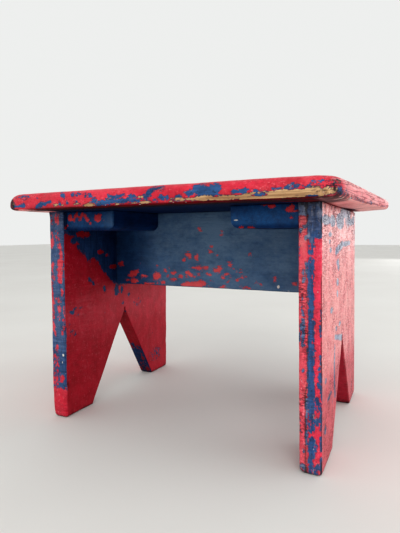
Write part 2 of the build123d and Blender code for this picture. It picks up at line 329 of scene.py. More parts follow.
class Nodes:
    def __init__(self, name):
        self.mat = bpy.data.materials.new(name)
        self.mat.use_nodes = True
        self.nt = self.mat.node_tree
        self.nt.nodes.clear()
        self.coord = self.nt.nodes.new("ShaderNodeTexCoord").outputs["Object"]

    def put(self, socket, value):
        if isinstance(value, bpy.types.NodeSocket):
            self.nt.links.new(value, socket)
        elif value is not None:
            socket.default_value = value

    def math(self, op, a, b=None, c=None, clamp=False):
        n = self.nt.nodes.new("ShaderNodeMath")
        n.operation = op
        n.use_clamp = clamp
        for i, v in enumerate((a, b, c)):
            if v is not None:
                self.put(n.inputs[i], v)
        return n.outputs[0]

    def add(self, a, b):
        return self.math("ADD", a, b)

    def sub(self, a, b):
        return self.math("SUBTRACT", a, b)

    def mul(self, a, b, clamp=False):
        return self.math("MULTIPLY", a, b, clamp=clamp)

    def top(self, a, b):
        return self.math("MAXIMUM", a, b)

    def low(self, a, b):
        return self.math("MINIMUM", a, b)

    def ramp(self, v, a, b, c=0.0, d=1.0, kind="SMOOTHSTEP"):
        n = self.nt.nodes.new("ShaderNodeMapRange")
        n.interpolation_type = kind
        self.put(n.inputs["Value"], v)
        n.inputs["From Min"].default_value, n.inputs["From Max"].default_value = a, b
        n.inputs["To Min"].default_value, n.inputs["To Max"].default_value = c, d
        return n.outputs["Result"]

    def attr(self, name):
        n = self.nt.nodes.new("ShaderNodeAttribute")
        n.attribute_name = name
        return n.outputs["Fac"]

    def stretched(self, scale, shift=(0, 0, 0)):
        n = self.nt.nodes.new("ShaderNodeMapping")
        self.put(n.inputs["Vector"], self.coord)
        n.inputs["Scale"].default_value = scale
        n.inputs["Location"].default_value = shift
        return n.outputs[0]

    def noise(self, per_m=(100, 100, 100), detail=3.0, rough=0.55, shift=0.0, warp=0.0, kind="FBM"):
        """Noise from about -1 to 1. per_m is lumps to the metre along x, y and z."""
        if not isinstance(per_m, tuple):
            per_m = (per_m,) * 3
        n = self.nt.nodes.new("ShaderNodeTexNoise")
        n.noise_dimensions = "3D"
        n.noise_type = kind
        n.normalize = True
        self.put(n.inputs["Vector"], self.stretched(per_m, (shift, shift * 0.7, -shift)))
        n.inputs["Scale"].default_value = 1.0
        n.inputs["Detail"].default_value = detail
        n.inputs["Roughness"].default_value = rough
        n.inputs["Distortion"].default_value = warp
        return self.math("MULTIPLY_ADD", n.outputs["Fac"], 3.2, -1.6)

    def cells(self, per_m, feature="F1", shift=0.0, random=1.0):
        n = self.nt.nodes.new("ShaderNodeTexVoronoi")
        n.voronoi_dimensions = "3D"
        n.feature = feature
        self.put(n.inputs["Vector"], self.stretched(per_m, (shift, -shift, shift * 0.3)))
        n.inputs["Scale"].default_value = 1.0
        n.inputs["Randomness"].default_value = random
        return n

    def mix(self, fac, a, b, mode="MIX"):
        n = self.nt.nodes.new("ShaderNodeMix")
        n.data_type = "RGBA"
        n.blend_type = mode
        n.clamp_factor = True
        self.put(n.inputs[0], fac)
        for socket, v in ((n.inputs[6], a), (n.inputs[7], b)):
            self.put(socket, v if isinstance(v, bpy.types.NodeSocket) else (*v, 1.0))
        return n.outputs[2]

    def lerp(self, fac, a, b):
        n = self.nt.nodes.new("ShaderNodeMix")
        n.data_type = "FLOAT"
        n.clamp_factor = True
        self.put(n.inputs[0], fac)
        self.put(n.inputs[2], a)
        self.put(n.inputs[3], b)
        return n.outputs[0]

    def bump(self, height, distance, normal=None):
        n = self.nt.nodes.new("ShaderNodeBump")
        n.inputs["Strength"].default_value = 1.0
        n.inputs["Distance"].default_value = distance
        self.put(n.inputs["Height"], height)
        if normal is not None:
            self.put(n.inputs["Normal"], normal)
        return n.outputs[0]

    def finish(self, colour, rough, normal, specular=0.5):
        b = self.nt.nodes.new("ShaderNodeBsdfPrincipled")
        o = self.nt.nodes.new("ShaderNodeOutputMaterial")
        self.put(b.inputs["Base Color"], colour)
        self.put(b.inputs["Roughness"], rough)
        self.put(b.inputs["Normal"], normal)
        self.put(b.inputs["Specular IOR Level"], specular)
        self.nt.links.new(b.outputs[0], o.inputs[0])
        return self.mat


def srgb(r, g, b):
    return tuple(((c / 255) / 12.92 if c <= 10 else ((c / 255 + 0.055) / 1.055) ** 2.4) for c in (r, g, b))


def paint(name, grain, red=(214, 32, 52), blue=(14, 62, 118), ragged=1.0, soft=0.14, crack=0.5,
          ripple=(60, 300, 0.5), red_rough=0.34, blue_rough=0.5, dust_sheen_red=(244, 168, 162),
          dust_sheen_blue=(86, 118, 152), fleck=1.0, streaky=1.0, sheen=0.3, ends=None,
          scrubbed=1.0, rimmed=0.6, lengthwise=1.0):
    """Worn red paint over blue over bare wood. grain is the axis the wood's grain runs along.

    The mesh carries, in mm, how far inside a red chip ("blue") and a bare patch ("wood") each
    point lies; noise here makes their edges ragged. Five more fields go with them: dirt together
    with painted shade, dust and fading together with painted sheen, painted shade alone, pale
    chips ("chalk"), and the way to a nail ("nail")."""
    N = Nodes(name)

    def along(across, lengthwise):
        v = [across] * 3
        v["xyz".index(grain)] = lengthwise
        return tuple(v)

    # the chips' edges
    n_big = N.noise(along(150, 95), 2.0, 0.5, 13.1)
    n_mid = N.noise(along(360, 230), 3.0, 0.6, 3.1)
    n_fine = N.noise(along(800, 520), 2.0, 0.6, 7.7)
    n_line = N.noise(along(620, 60), 2.0, 0.5, 1.3)
    cell = N.cells(along(480, 300), "F1", 4.4)
    sep = N.nt.nodes.new("ShaderNodeSeparateColor")
    N.nt.links.new(cell.outputs["Color"], sep.inputs[0])
    cell_n = N.math("MULTIPLY_ADD", sep.outputs[0], 2.0, -1.0)
    cell_b = N.math("MULTIPLY_ADD", sep.outputs[1], 2.0, -1.0)
    ragged_n = N.add(
        N.add(N.mul(n_mid, 1.25 * ragged), N.mul(n_fine, 0.85 * ragged)),
        N.add(N.mul(n_line, 0.45 * ragged), N.mul(cell_n, 0.62 * ragged)),
    )
    ragged_w = N.add(N.mul(n_line, 0.95 * ragged), N.add(N.mul(N.add(n_fine, N.mul(n_mid, 0.5)), 0.7 * ragged), N.mul(cell_n, 0.4 * ragged)))
    wood_d = N.add(N.attr("wood"), ragged_w)
    blue_d = N.top(N.add(N.attr("blue"), ragged_n), N.add(wood_d, 0.35))
    blue_m = N.ramp(blue_d, -soft, soft)
    wood_m = N.ramp(wood_d, -0.14, 0.18)

    # the red coat: streaked, faded and flecked
    streak = N.mul(N.noise(along(160, 9), 4.0, 0.6, 11.0), streaky)
    mottle = N.noise(70, 4.0, 0.6, 2.2)
    r, g, b = red
    red_a, red_b = srgb(r * 0.84, g * 0.6, b * 0.72), srgb(min(255, r * 1.07), g * 1.5, b * 1.22)
    red_c = N.mix(N.ramp(N.add(streak, mottle), -1.3, 1.3), red_a, red_b)
    pits = N.ramp(N.add(n_fine, N.mul(cell_b, 0.55)), 0.85, 1.35, 0, 0.75 * fleck)
    red_c = N.mix(pits, red_c, srgb(78, 12, 38))
    red_c = N.mix(N.ramp(N.sub(n_fine, N.mul(n_mid, 0.5)), -0.2, 1.0, 0, 0.34 * fleck), red_c, srgb(150, 12, 40))
    red_c = N.mix(N.ramp(N.sub(cell_b, n_fine), 0.7, 1.5, 0, 0.40 * fleck), red_c, srgb(250, 130, 142))
    # the blue coat under it: duller, scrubbed
    scrub = N.mul(N.noise(along(420, 40), 4.0, 0.65, 21.0), scrubbed)
    r, g, b = blue
    blue_a, blue_b = srgb(r * 0.5, g * 0.62, b * 0.68), srgb(r * 1.9 + 8, g * 1.25, b * 1.14)
    blue_c = N.mix(N.ramp(N.add(scrub, N.mul(mottle, 0.7)), -1.2, 1.3), blue_a, blue_b)
    blue_c = N.mix(N.ramp(N.add(n_fine, n_mid), 0.9, 1.6, 0, 0.5 * fleck), blue_c, srgb(110, 128, 158))
    blue_c = N.mix(N.ramp(N.sub(N.mul(cell_b, 0.6), n_fine), 0.45, 1.05, 0, 0.65 * fleck), blue_c, srgb(8, 20, 46))
    # bare wood: fine grain, darker in its pores
    wg = N.noise(along(900, 22), 5.0, 0.6, 31.0, warp=0.3)
    ring = N.noise(along(260, 10), 3.0, 0.5, 41.0, warp=0.8)
    wood_c = N.mix(N.ramp(N.add(wg, N.mul(ring, 1.0)), -1.1, 1.1), srgb(150, 110, 76), srgb(224, 184, 138))
    wood_c = N.mix(N.ramp(N.add(N.noise(along(300, 60), 3, 0.6, 51.0), N.mul(cell_b, 0.4)), 0.2, 1.0, 0, 0.8), wood_c, srgb(98, 76, 72))
    wood_c = N.mix(N.ramp(N.add(N.noise(along(640, 110), 3, 0.6, 57.0), N.mul(cell_n, 0.5)), 0.55, 1.1, 0, 0.9), wood_c, srgb(64, 50, 58))

    # dust and fading on the paint, and painted sheen where the mesh asks for it, most on the plates between the cracks
    cross = N.noise(along(ripple[0], ripple[1]), 3.0, 0.6, 71.0)
    cross_line = N.ramp(N.math("ABSOLUTE", N.add(cross, N.mul(n_fine, 0.12))), 0.03, 0.25, 1, 0)
    plates = N.mul(N.ramp(cross, 0.3, 0.9), N.attr("craze"))
    where = N.ramp(N.noise(along(55, 38), 3.0, 0.55, 81.0), -0.7, 0.6)
    cross_m = N.mul(N.mul(cross_line, where), N.attr("craze"))
    length = N.noise(along(300, 9), 3.0, 0.55, 91.0)
    length_m = N.mul(N.ramp(N.math("ABSOLUTE", length), 0.0, 0.10, 1, 0), N.ramp(N.noise(along(60, 16), 2.0, 0.5, 95.0), 0.0, 0.9))
    cracks = N.mul(N.top(cross_m, N.mul(length_m, lengthwise)), N.sub(1.0, wood_m))
    dust_n = N.noise(along(90, 45), 5.0, 0.62, 61.0)
    dust_and_sheen = N.ramp(N.add(N.attr("dust_and_sheen"), N.mul(N.mul(N.add(dust_n, N.mul(n_mid, 0.6)), 0.5), N.add(N.attr("dust_and_sheen"), 0.10))), 0.02, 1.0, kind="LINEAR")
    dust_and_sheen = N.mul(N.add(dust_and_sheen, N.mul(plates, 0.16)), N.sub(1.0, N.mul(cracks, 0.7)))
    red_c = N.mix(N.mul(dust_and_sheen, 0.8), red_c, srgb(*dust_sheen_red))
    blue_c = N.mix(N.mul(dust_and_sheen, 0.8), blue_c, srgb(*dust_sheen_blue))
    # painted shade: the paint is darkened where shade falls, in recesses and underneath
    painted_shade = N.attr("painted_shade")
    red_c = N.mix(painted_shade, red_c, (0.26, 0.04, 0.09), "MULTIPLY")
    blue_c = N.mix(painted_shade, blue_c, (0.03, 0.16, 0.27), "MULTIPLY")

    colour = N.mix(blue_m, red_c, blue_c)
    colour = N.mix(wood_m, colour, wood_c)
    colour = N.mix(N.mul(cracks, crack), colour, (0.17, 0.05, 0.10), "MULTIPLY")
    # salt and pepper where the surface is broken up
    tiny = N.noise(along(1000, 680), 1.0, 0.5, 17.3)
    pepper = N.mul(N.ramp(N.add(tiny, N.mul(cell_n, 0.4)), 0.5, 1.1, 0, 0.60), N.ramp(N.attr("craze"), 0.2, 1.3))
    salt = N.mul(N.ramp(N.sub(N.mul(cell_b, 0.5), tiny), 0.65, 1.2, 0, 0.40), N.ramp(N.attr("craze"), 0.45, 1.2))
    colour = N.mix(pepper, colour, (0.12, 0.05, 0.10), "MULTIPLY")
    colour = N.mix(salt, colour, srgb(216, 196, 206))
    # on the end faces: pale streaks, a painted highlight, and dark lines
    if ends:
        line = N.noise(ends, 1.5, 0.5, 33.0)
        colour = N.mix(N.mul(N.ramp(line, 0.35, 0.9, 0, 0.6), N.attr("ends")), colour, srgb(232, 200, 202))
        line = N.mul(N.ramp(N.math("ABSOLUTE", line), 0.0, 0.16, 1, 0), N.attr("ends"))
        colour = N.mix(N.mul(line, 0.6), colour, srgb(92, 44, 58))
        cracks = N.top(cracks, line)

    # a dark rim where the red coat breaks off; here and there inside it a pale lip, a painted highlight
    rim_at = N.ramp(n_big, -0.9, 0.5, 0.1, 1)
    rim = N.mul(N.ramp(N.math("ABSOLUTE", N.add(blue_d, 0.30)), 0.0, 0.34, rimmed, 0), rim_at)
    colour = N.mix(rim, colour, srgb(58, 10, 40))
    wrim = N.ramp(N.math("ABSOLUTE", N.add(wood_d, 0.12)), 0.0, 0.32, 0.6, 0)
    colour = N.mix(wrim, colour, srgb(40, 32, 44))
    lip = N.mul(N.ramp(N.math("ABSOLUTE", N.sub(blue_d, 0.30)), 0.0, 0.3, 1, 0), N.ramp(N.add(n_line, cell_b), 0.75, 1.3, 0, 0.55 * fleck))
    colour = N.mix(N.mul(lip, N.sub(1.0, wood_m)), colour, srgb(196, 186, 196))
    chalk = N.ramp(N.add(N.attr("chalk"), N.mul(n_fine, 0.35)), -0.15, 0.25)
    colour = N.mix(chalk, colour, srgb(226, 222, 216))

    # nails: a ring of dirt round each, its head stained
    nail_n = N.add(N.attr("nail"), N.mul(n_fine, 0.25))
    ring_m = N.ramp(N.math("ABSOLUTE", N.sub(nail_n, 3.0)), 0.0, 0.6, 0.55, 0)
    colour = N.mix(ring_m, colour, srgb(30, 20, 24))
    head_m = N.mul(N.ramp(nail_n, 2.6, 2.9, 1, 0), N.ramp(N.add(n_mid, cell_n), -0.2, 0.8))
    colour = N.mix(N.mul(head_m, 0.75), colour, srgb(84, 58, 48))

    # grime, and painted shade where the mesh asks for it
    grime_and_shade = N.ramp(N.add(N.attr("grime_and_shade"), N.mul(N.add(N.noise(along(260, 90), 4.0, 0.6, 101.0), N.mul(n_fine, 0.4)), N.add(N.mul(N.attr("grime_and_shade"), 0.45), 0.10))), 0.12, 1.0)
    colour = N.mix(N.mul(grime_and_shade, 0.9), colour, srgb(30, 24, 30))

    # gloss
    rough = N.lerp(blue_m, red_rough, blue_rough)
    rough = N.lerp(wood_m, rough, 0.78)
    rough = N.add(rough, N.mul(n_mid, 0.05))
    rough = N.add(rough, N.mul(cracks, 0.2))
    rough = N.lerp(N.mul(grime_and_shade, 0.7), rough, 0.85)
    rough = N.lerp(N.mul(painted_shade, 0.6), rough, 0.8)
    rough = N.math("MINIMUM", N.math("MAXIMUM", rough, 0.2), 1.0)

    # relief: coats with thickness, cracks, brush marks and the wood's grain
    height = N.add(N.ramp(blue_d, -0.45, 0.15, 0, -1.0), N.mul(wood_m, -0.9))
    height = N.sub(height, N.mul(cracks, 0.75))
    height = N.add(height, N.mul(cross, ripple[2]))
    height = N.sub(height, N.ramp(nail_n, 2.5, 3.3, 1.6, 0))
    brush = N.noise(along(420, 12), 3.0, 0.55, 111.0)
    height = N.add(height, N.mul(brush, 0.13))
    height = N.add(height, N.mul(N.mul(wg, wood_m), 0.5))
    height = N.add(height, N.mul(N.add(n_fine, n_mid), 0.16))
    normal = N.bump(height, 0.00034)
    return N.finish(colour, rough, normal, N.lerp(painted_shade, sheen, 0.08))


def steel(name):
    N = Nodes(name)
    rust = N.noise(700, 4.0, 0.65, 3.0)
    pit = N.noise(2600, 2.0, 0.6, 9.0)
    draw = N.noise((2200, 2200, 160), 2.0, 0.5, 5.0)
    colour = N.mix(N.ramp(draw, -1, 1), srgb(96, 92, 90), srgb(150, 146, 142))
    colour = N.mix(N.ramp(rust, -0.1, 0.7), colour, srgb(112, 62, 34))
    rough = N.add(N.ramp(rust, -0.1, 0.7, 0.42, 0.85), N.mul(pit, 0.05))
    b = N.nt.nodes.new("ShaderNodeBsdfPrincipled")
    o = N.nt.nodes.new("ShaderNodeOutputMaterial")
    N.put(b.inputs["Base Color"], colour)
    N.put(b.inputs["Roughness"], rough)
    N.put(b.inputs["Metallic"], N.ramp(rust, -0.1, 0.7, 0.95, 0.1))
    N.put(b.inputs["Normal"], N.bump(N.add(N.mul(pit, 0.5), rust), 0.00008))
    N.nt.links.new(b.outputs[0], o.inputs[0])
    return N.mat


# ---------------------------------------------------------------------------
# The top
# ---------------------------------------------------------------------------
SKEW = math.tan(math.radians(4.0))


def lifted(x, y):
    """How far the top's underside has curled up over the right end board and beyond, x from the middle."""
    return 3.3 * smooth(-40, 108, y) * smooth(INNER - 10, INNER + 3, x)


EYE = np.array([210.06 + MID, -461.7, 200.2])     # where a viewer in front of the stool looks from


def seen_on(p, y):
    """Where a point shows on the upright plane at y, for that viewer."""
    k = (y - EYE[1]) / (p[:, 1] - EYE[1])
    return EYE[0] + (p[:, 0] - EYE[0]) * k, EYE[2] + (p[:, 2] - EYE[2]) * k


TOP_NAILS = [(MID + s * (OUTER - THICK / 2), y) for s in (-1, 1) for y in (-92, -30, 30, 92)] + [
    (MID + x, -6.0) for x in (-62, 4, 66)
]


def build_top():
    half_y = float(TOP_HI[1])
    reach_l = MID - TOP_LO[0]
    reach_r = 172.6
    R = 22.0
    k = math.sqrt(1 + SKEW**2)

    def planes(p):
        x, y = p[:, 0] - MID, p[:, 1]
        return -reach_l - x, (x - reach_r - SKEW * y) / k, -half_y - y, y - half_y

    def outline(p):
        a, b, c, d = planes(p)
        inside = np.maximum(np.maximum(a, b), np.maximum(c, d))
        s = [np.maximum(v + R, 0) for v in (a, b, c, d)]
        return np.minimum(inside, -R) + np.sqrt(s[0] ** 2 + s[1] ** 2 + s[2] ** 2 + s[3] ** 2)

    def depth(p):
        o = outline(p)
        wear = fbm(p, 28, 2, 5) * 0.7 + 0.6 * np.maximum(fbm(p, 9, 2, 6), 0)
        # the right front corner and the left end are worn rounder
        corner = 1.3 * np.exp(-(((p[:, 0] - 160) ** 2 + (p[:, 1] + 140) ** 2) / 900.0))
        left_end = smooth(MID - 140, MID - 173, p[:, 0])
        up = 7.0 + wear + corner + 4.2 * left_end
        low = 4.2 + 0.6 * wear - 1.2 * left_end
        # both overhanging ends are planed thinner from below
        x = p[:, 0] - MID
        rise = 3.4 * smooth(-152, -176, x) + 1.2 * smooth(147, 170, x) + lifted(x, p[:, 1])
        d = rmax(o, p[:, 2] - TOP_HI[2], up)
        return rmax(d, (TOP_LO[2] + rise - p[:, 2]) * 0.99, low)

    def skew(p):
        out = p.copy()
        x, y = p[..., 0] - MID, p[..., 1]
        t = (x + reach_l) / (reach_l + reach_r)
        out[..., 0] = MID - reach_l + t * (reach_l + reach_r + SKEW * y)
        return out

    pts, quads, uv = box_shell(
        (MID - reach_l, -half_y, TOP_LO[2]), (MID + reach_r, half_y, TOP_HI[2]), (1.75, 1.75, 1.15), "top", skew
    )
    p, n = settle(pts, depth)
    a, b, c, d = planes(p)
    o = outline(p)
    edge = np.minimum(np.abs(o), 40.0)                       # mm in from the outline
    upper = smooth(SEAT + 9, SEAT + 14, p[:, 2])
    rim = np.maximum(-second_largest([o, p[:, 2] - TOP_HI[2], TOP_LO[2] - p[:, 2]]), 0)

    # the sides' profile, seen from the front
    sx, sz = seen_on(p, TOPF)
    h = sz - SEAT
    front = np.where((p[:, 1] < TOPF + 16) & (n[:, 2] < 0.97) & (n[:, 2] > -0.9), 1.0, 0.0) * (n[:, 1] < 0.05)

    def grown(items, kx=1.12, ky=1.2, add=0.35):
        return [(u, v, a * kx + add, b * ky + add, *t) for u, v, a, b, *t in items]

    blue_f = np.maximum.reduce([
        ellipses(sx, h, grown([
            (-92.3, 12.4, 2.8, 1.9), (-81, 12.4, 1.3, 0.8), (-77, 12, 1.0, 0.7),
            (-73, 12.8, 1.7, 0.8), (-69, 12.2, 1.2, 0.7), (-65, 11.7, 1.7, 0.9), (-60.5, 11.3, 1.7, 0.9),
            (-87, 6, 0.9, 1.6), (-76.5, 5.6, 0.9, 0.9), (-55.5, 5.6, 2.9, 1.8), (-97, 4.5, 1.2, 1.0),
            (-14, 8, 3.6, 1.4), (11, 4.2, 2.4, 1.1), (16, 5.2, 2.6, 1.4), (21, 5.2, 1.2, 1.5), (31.5, 5.6, 3.0, 1.2),
            (54, 10, 7, 3.4), (63, 9.5, 6, 3.4), (66, 11, 4, 2.6), (49.5, 11, 4, 2.1), (57, 7, 7, 1.6), (41.5, 8, 3.6, 1.6),
            (49.5, 4, 2.6, 1.2), (81.6, 7.6, 2.6, 1.2), (88, 7.8, 3.6, 1.7), (97, 7.6, 2, 0.7), (101, 4.2, 6, 1.1), (112, 7.6, 4, 0.7),
            (140, 1.4, 5, 1.3), (138, 7.9, 2, 1.0),
            (117, 0.6, 3.5, 0.8), (148, 3.0, 2.6, 1.0), (160.4, 4.3, 2.6, 1.9), (147, 12.3, 1.4, 0.5), (141, 11.6, 1.2, 0.6),
        ])),
        np.minimum(ellipses(sx, h, [(-145, 12.5, 8, 1.7), (127.5, 7.8, 7.0, 2.9), (148.5, 9.4, 5, 0.9), (-128, 11.0, 3, 0.8)]), -0.25),

        strokes(sx, h, [
            (-159, 4.4, -143, 4.6, 1.8), (-127, 3.2, -119, 5.0, 2.1), (-119, 5.0, -109, 7.0, 1.6),
            (-52, 3.0, -38, 4.2, 2.1), (-38, 4.4, -20, 4.6, 2.3), (-20, 5, -6, 4.2, 2.0), (-6, 4.2, 2, 2.9, 1.5),
            (-40, 9.4, -33, 8.3, 1.2), (-33, 8.2, -26, 8.8, 1.3), (-26, 8.8, -22, 10.8, 1.1),
            (0, 7.3, 4, 10.6, 2.9), (4, 10.6, 8, 13.2, 1.8), (8, 13.4, 18, 13.9, 1.2),
        ]),
    ])
    wood_f = np.maximum.reduce([
        ellipses(sx, h, [
            (-76, 3.9, 3.6, 1.1), (-61, 2.6, 7, 1.5), (-102, 3, 3.2, 0.9), (-94, 3.2, 1.4, 0.6), (-6, 7.1, 3.4, 1.0), (-30, 2.4, 3.0, 0.7),
            (-14, 2.6, 4, 0.7), (-1, 2.4, 4, 0.8), (165, 3.9, 2.6, 1.8), (-158.5, 6.6, 1.5, 1.6), (-40, 6.6, 1.2, 0.5),
        ]),
        np.minimum(ellipses(sx, h, [(153.5, 10.6, 5.5, 1.2)]), -0.45),
        strokes(sx, h, [
            (24, 3, 48, 3.4, 1.2), (48, 3.4, 72, 3.0, 1.7), (72, 2.9, 90, 2.2, 2.3), (90, 2.2, 105, 2.8, 3.0),
            (105, 2.8, 122, 3.0, 3.0), (122, 3.0, 136, 4.0, 3.0), (136, 4.0, 150, 4.8, 3.3), (150, 4.6, 156, 4.3, 2.6),
        ]),
    ])
    # blue that stayed on inside the long bare strip
    kept = ellipses(sx, h, [(101, 4.6, 6.5, 1.3), (140, 1.2, 5.5, 1.5), (147.5, 6.6, 2.0, 1.6), (160.4, 4.3, 3.2, 2.9), (83, 1.2, 4, 0.9), (121, 6.4, 5, 0.9), (62, 4.9, 4, 0.8)])
    wood_f = np.minimum(wood_f, -kept + 0.2)
    wood_f = wood_f + 0.85 * fbm(p, 6.5, 3, 24, (1.8, 1, 1)) - 0.05
    blue_f = blue_f + 0.55 * fbm(p, 5.0, 3, 25, (1.3, 1, 1))
    chalk_f = ellipses(sx, h, [
        (-43, 1.7, 1.0, 0.7), (-41.5, 6.4, 0.8, 0.5), (-14.5, 5.9, 1.5, 0.5), (-6, 0.9, 1.2, 0.6), (14, 3.1, 0.8, 0.6), (-30, 1.3, 0.9, 0.5),
        (27, 1.2, 1.2, 0.5), (39, 1.0, 0.9, 0.5), (-81, 2.3, 0.8, 0.5), (56, 13.2, 0.9, 0.5), (84, 9.8, 0.7, 0.5), (108, 8.9, 0.9, 0.5),
        (134, 9.3, 0.7, 0.5), (4.5, 6.2, 0.7, 0.6), (121, -0.8, 1.0, 0.5), (151, 9.5, 0.8, 0.5), (-118, 2.9, 0.6, 0.5), (72, 5.2, 1.1, 0.5),
    ])
    nose = ellipses(sx, h, [(-162, 4.2, 5.2, 5.2), (-157, 0.2, 6, 1.8), (-160.5, 8.5, 2.5, 3.5)])

    # elsewhere: chips along the rims, scuffs where feet stand
    big = fbm(p, 24, 4, 11, (1.5, 1, 1))
    mid = fbm(p, 9, 3, 12, (1.7, 1, 1))
    free_blue = -2.4 + 2.6 * big + 1.8 * mid + 1.6 * np.exp(-rim / 3.0)
    free_wood = -3.4 + 2.0 * fbm(p, 17, 3, 13, (2.6, 1, 1)) + 1.5 * mid + 1.3 * np.exp(-rim / 2.5)
    tread = np.exp(-(((p[:, 0] - MID) / 92) ** 4) - ((p[:, 1] / 82) ** 4)) * upper
    free_blue = free_blue + 1.5 * tread
    back_edge = (d > -7) & (n[:, 2] < 0.8)
    left_edge = (a > -7) & (n[:, 2] < 0.8)
    free_blue = free_blue + (2.0 + 1.2 * mid) * (back_edge | left_edge)
    free_wood = free_wood + (1.3 * smooth(9, 4, p[:, 2] - SEAT) + 0.9 * big) * (back_edge | left_edge)
    free_wood = free_wood + 0.9 * tread
    side_low = smooth(9, 3, p[:, 2] - SEAT) * smooth(-2.0, 1.0, p[:, 2] - SEAT)
    free_wood = free_wood + 1.0 * side_low * (edge < 10)
    # underneath: a red margin the brush reached, blue beyond it
    beneath = n[:, 2] < -0.72
    x = p[:, 0] - MID
    wide_margin = 13 + 20 * smooth(60, 150, x) + 40 * smooth(-118, -140, x)
    margin = edge - wide_margin + 5 * fbm(p, 16, 3, 15)
    blue_u = np.clip(margin * 0.6, -3, 3) + 0.5 * mid
    blue = np.where(beneath, blue_u, free_blue)
    wood = np.where(beneath, -4.5 + 1.4 * mid, free_wood)
    right_side = (b > -7) & (n[:, 2] < 0.8) & ~beneath
    yy = p[:, 1]
    hh = p[:, 2] - SEAT
    side_blue = np.minimum(ellipses(yy, hh, [(-120, 4.0, 9, 2.4), (-70, 3.0, 26, 1.8), (10, 4.0, 30, 1.6), (95, 5, 24, 1.6)]), -0.25) + 0.2 * mid
    blue = np.where(right_side, np.maximum(side_blue, -3.8 + 1.2 * big + 1.2 * mid), blue)
    wood = np.where(right_side, -3.6 + 1.6 * mid + 1.0 * side_low, wood)
    blue = np.where(front > 0, blue_f, blue)
    wood = np.where(front > 0, wood_f, wood)
    blue = np.where(beneath & (front > 0), blue_u, blue)
    wood = np.where(beneath & (front > 0), np.minimum(wood_f, 0.2) - 0.6 - 0.25 * np.maximum(edge, 0), wood)
    chalk = np.where(front > 0, chalk_f - 0.3, -4.0)
    corner_low = smooth(146, 154, sx) * smooth(2.6, 0.6, h) * (p[:, 1] < TOPF + 50)
    chalk = np.where(corner_low > 0.5, np.maximum(chalk, 1.2 * noise(p, 2.0, 26, (2, 2, 1)) - 0.45), chalk)

    grime_and_shade = 0.20 * smooth(-0.2, 1.2, fbm(p, 30, 3, 17)) * (front == 0)
    near_leg = np.minimum(np.abs(p[:, 0] - (MID + OUTER)), np.abs(p[:, 0] - (MID - OUTER)))
    grime_and_shade = grime_and_shade + 0.5 * beneath * np.exp(-near_leg / 6.0) * (np.abs(p[:, 1]) < HALF_LEG + 6)
    grime_and_shade = grime_and_shade + (front > 0) * (0.95 * smooth(-0.8, 1.0, nose))
    gouge = strokes(sx, h, [(155.2, 9.4, 156.2, 4.8, 0.55), (143, 4.4, 151, 5.4, 0.35), (150, 8.4, 157, 8.0, 0.3), (157, 12.0, 166, 9.0, 0.35)])
    grime_and_shade = grime_and_shade + (front > 0) * 0.9 * smooth(-0.5, 0.2, gouge)
    grime_and_shade = grime_and_shade + 0.42 * (front > 0) * np.exp(-(((sx - 160) / 4.2) ** 2 + ((h - 4.0) / 3.4) ** 2))
    grime_and_shade = grime_and_shade + corner_low * (0.34 + 0.5 * noise(p, 2.4, 27, (2, 2, 1)))
    tip = np.exp(-(((x + 173) / 6.0) ** 2)) * (n[:, 2] < 0.8) * (front == 0)
    grime_and_shade = grime_and_shade + 0.45 * tip * smooth(1.0, 6.0, 11 - hh)
    grime_and_shade = grime_and_shade + right_side * (0.14 * smooth(4.5, 1.0, hh) + 0.08 + 0.25 * np.exp(-(((yy + 128) / 9) ** 2)) * smooth(8, 4, hh))
    lines = np.abs(noise(p, 2.6, 18, (1, 30, 1))) < 0.10
    grime_and_shade = grime_and_shade + right_side * 0.30 * lines
    # a dark line, painted shade, where the front edge turns under
    under_line = np.exp(-(((h + 1.2 + 0.5 * fbm(p, 12, 2, 19)) / 0.8) ** 2)) * (p[:, 1] < TOPF + 22)
    grime_and_shade = grime_and_shade + (0.65 * under_line * smooth(150, 100, sx) + 0.35 * under_line) * smooth(-146, -132, sx)
    arris = smooth(-0.12, -0.5, n[:, 2]) * ~beneath * (np.abs(x) > 150) * (front == 0)
    grime_and_shade = grime_and_shade + arris * (0.05 + 0.30 * mid)
    far = smooth(TOPF + 8, TOPF + 70, yy)
    # dust on the top; on the right end face a painted sheen, paler towards the back
    dust_and_sheen = 0.22 * upper + 0.52 * right_side * (0.75 + 0.25 * np.sin(yy / 17.0 + 1.0)) * (0.25 + 0.75 * far) + 0.02
    dust_and_sheen = np.where(front > 0, 0.05 + 0.25 * smooth(158, 172, sx), dust_and_sheen)
    # underneath: painted shade between the end boards; under the overhanging ends the paint is painted paler instead
    overhang = smooth(143, 149, x) + smooth(-122, -136, x)
    dust_and_sheen = np.where(beneath, 0.95 * overhang, dust_and_sheen)
    painted_shade = np.where(beneath, (0.80 + 0.20 * smooth(6, 30, edge)) * (1 - overhang), 0.0)
    # painted shade: a dark strip under the right overhang, the underside behind the front edge, the front edge's lower
    # rim and the right end face's lower edge
    grime_and_shade = grime_and_shade + 0.30 * beneath * smooth(143, 149, x) * (0.6 + mid)
    grime_and_shade = grime_and_shade + beneath * smooth(141, 147, x) * smooth(TOPF + 62, TOPF + 30, yy) * (0.42 + 0.45 * noise(p, 3.0, 28, (2.5, 1, 1)))
    lip = beneath * smooth(TOPF + 60, TOPF + 34, yy) * (1 - overhang)
    painted_shade = painted_shade + 0.2 * lip
    grime_and_shade = grime_and_shade + 0.42 * lip + 0.30 * (front > 0) * ~beneath * smooth(2.2, 0.4, h) * smooth(162, 146, sx) * smooth(-146, -136, sx)
    painted_shade = painted_shade + 0.92 * (front > 0) * smooth(2.8, 0.6, h) * smooth(162, 146, sx) * smooth(-146, -136, sx)
    painted_shade = np.where(right_side, 0.12 + 0.2 * smooth(6, 2, hh), painted_shade)

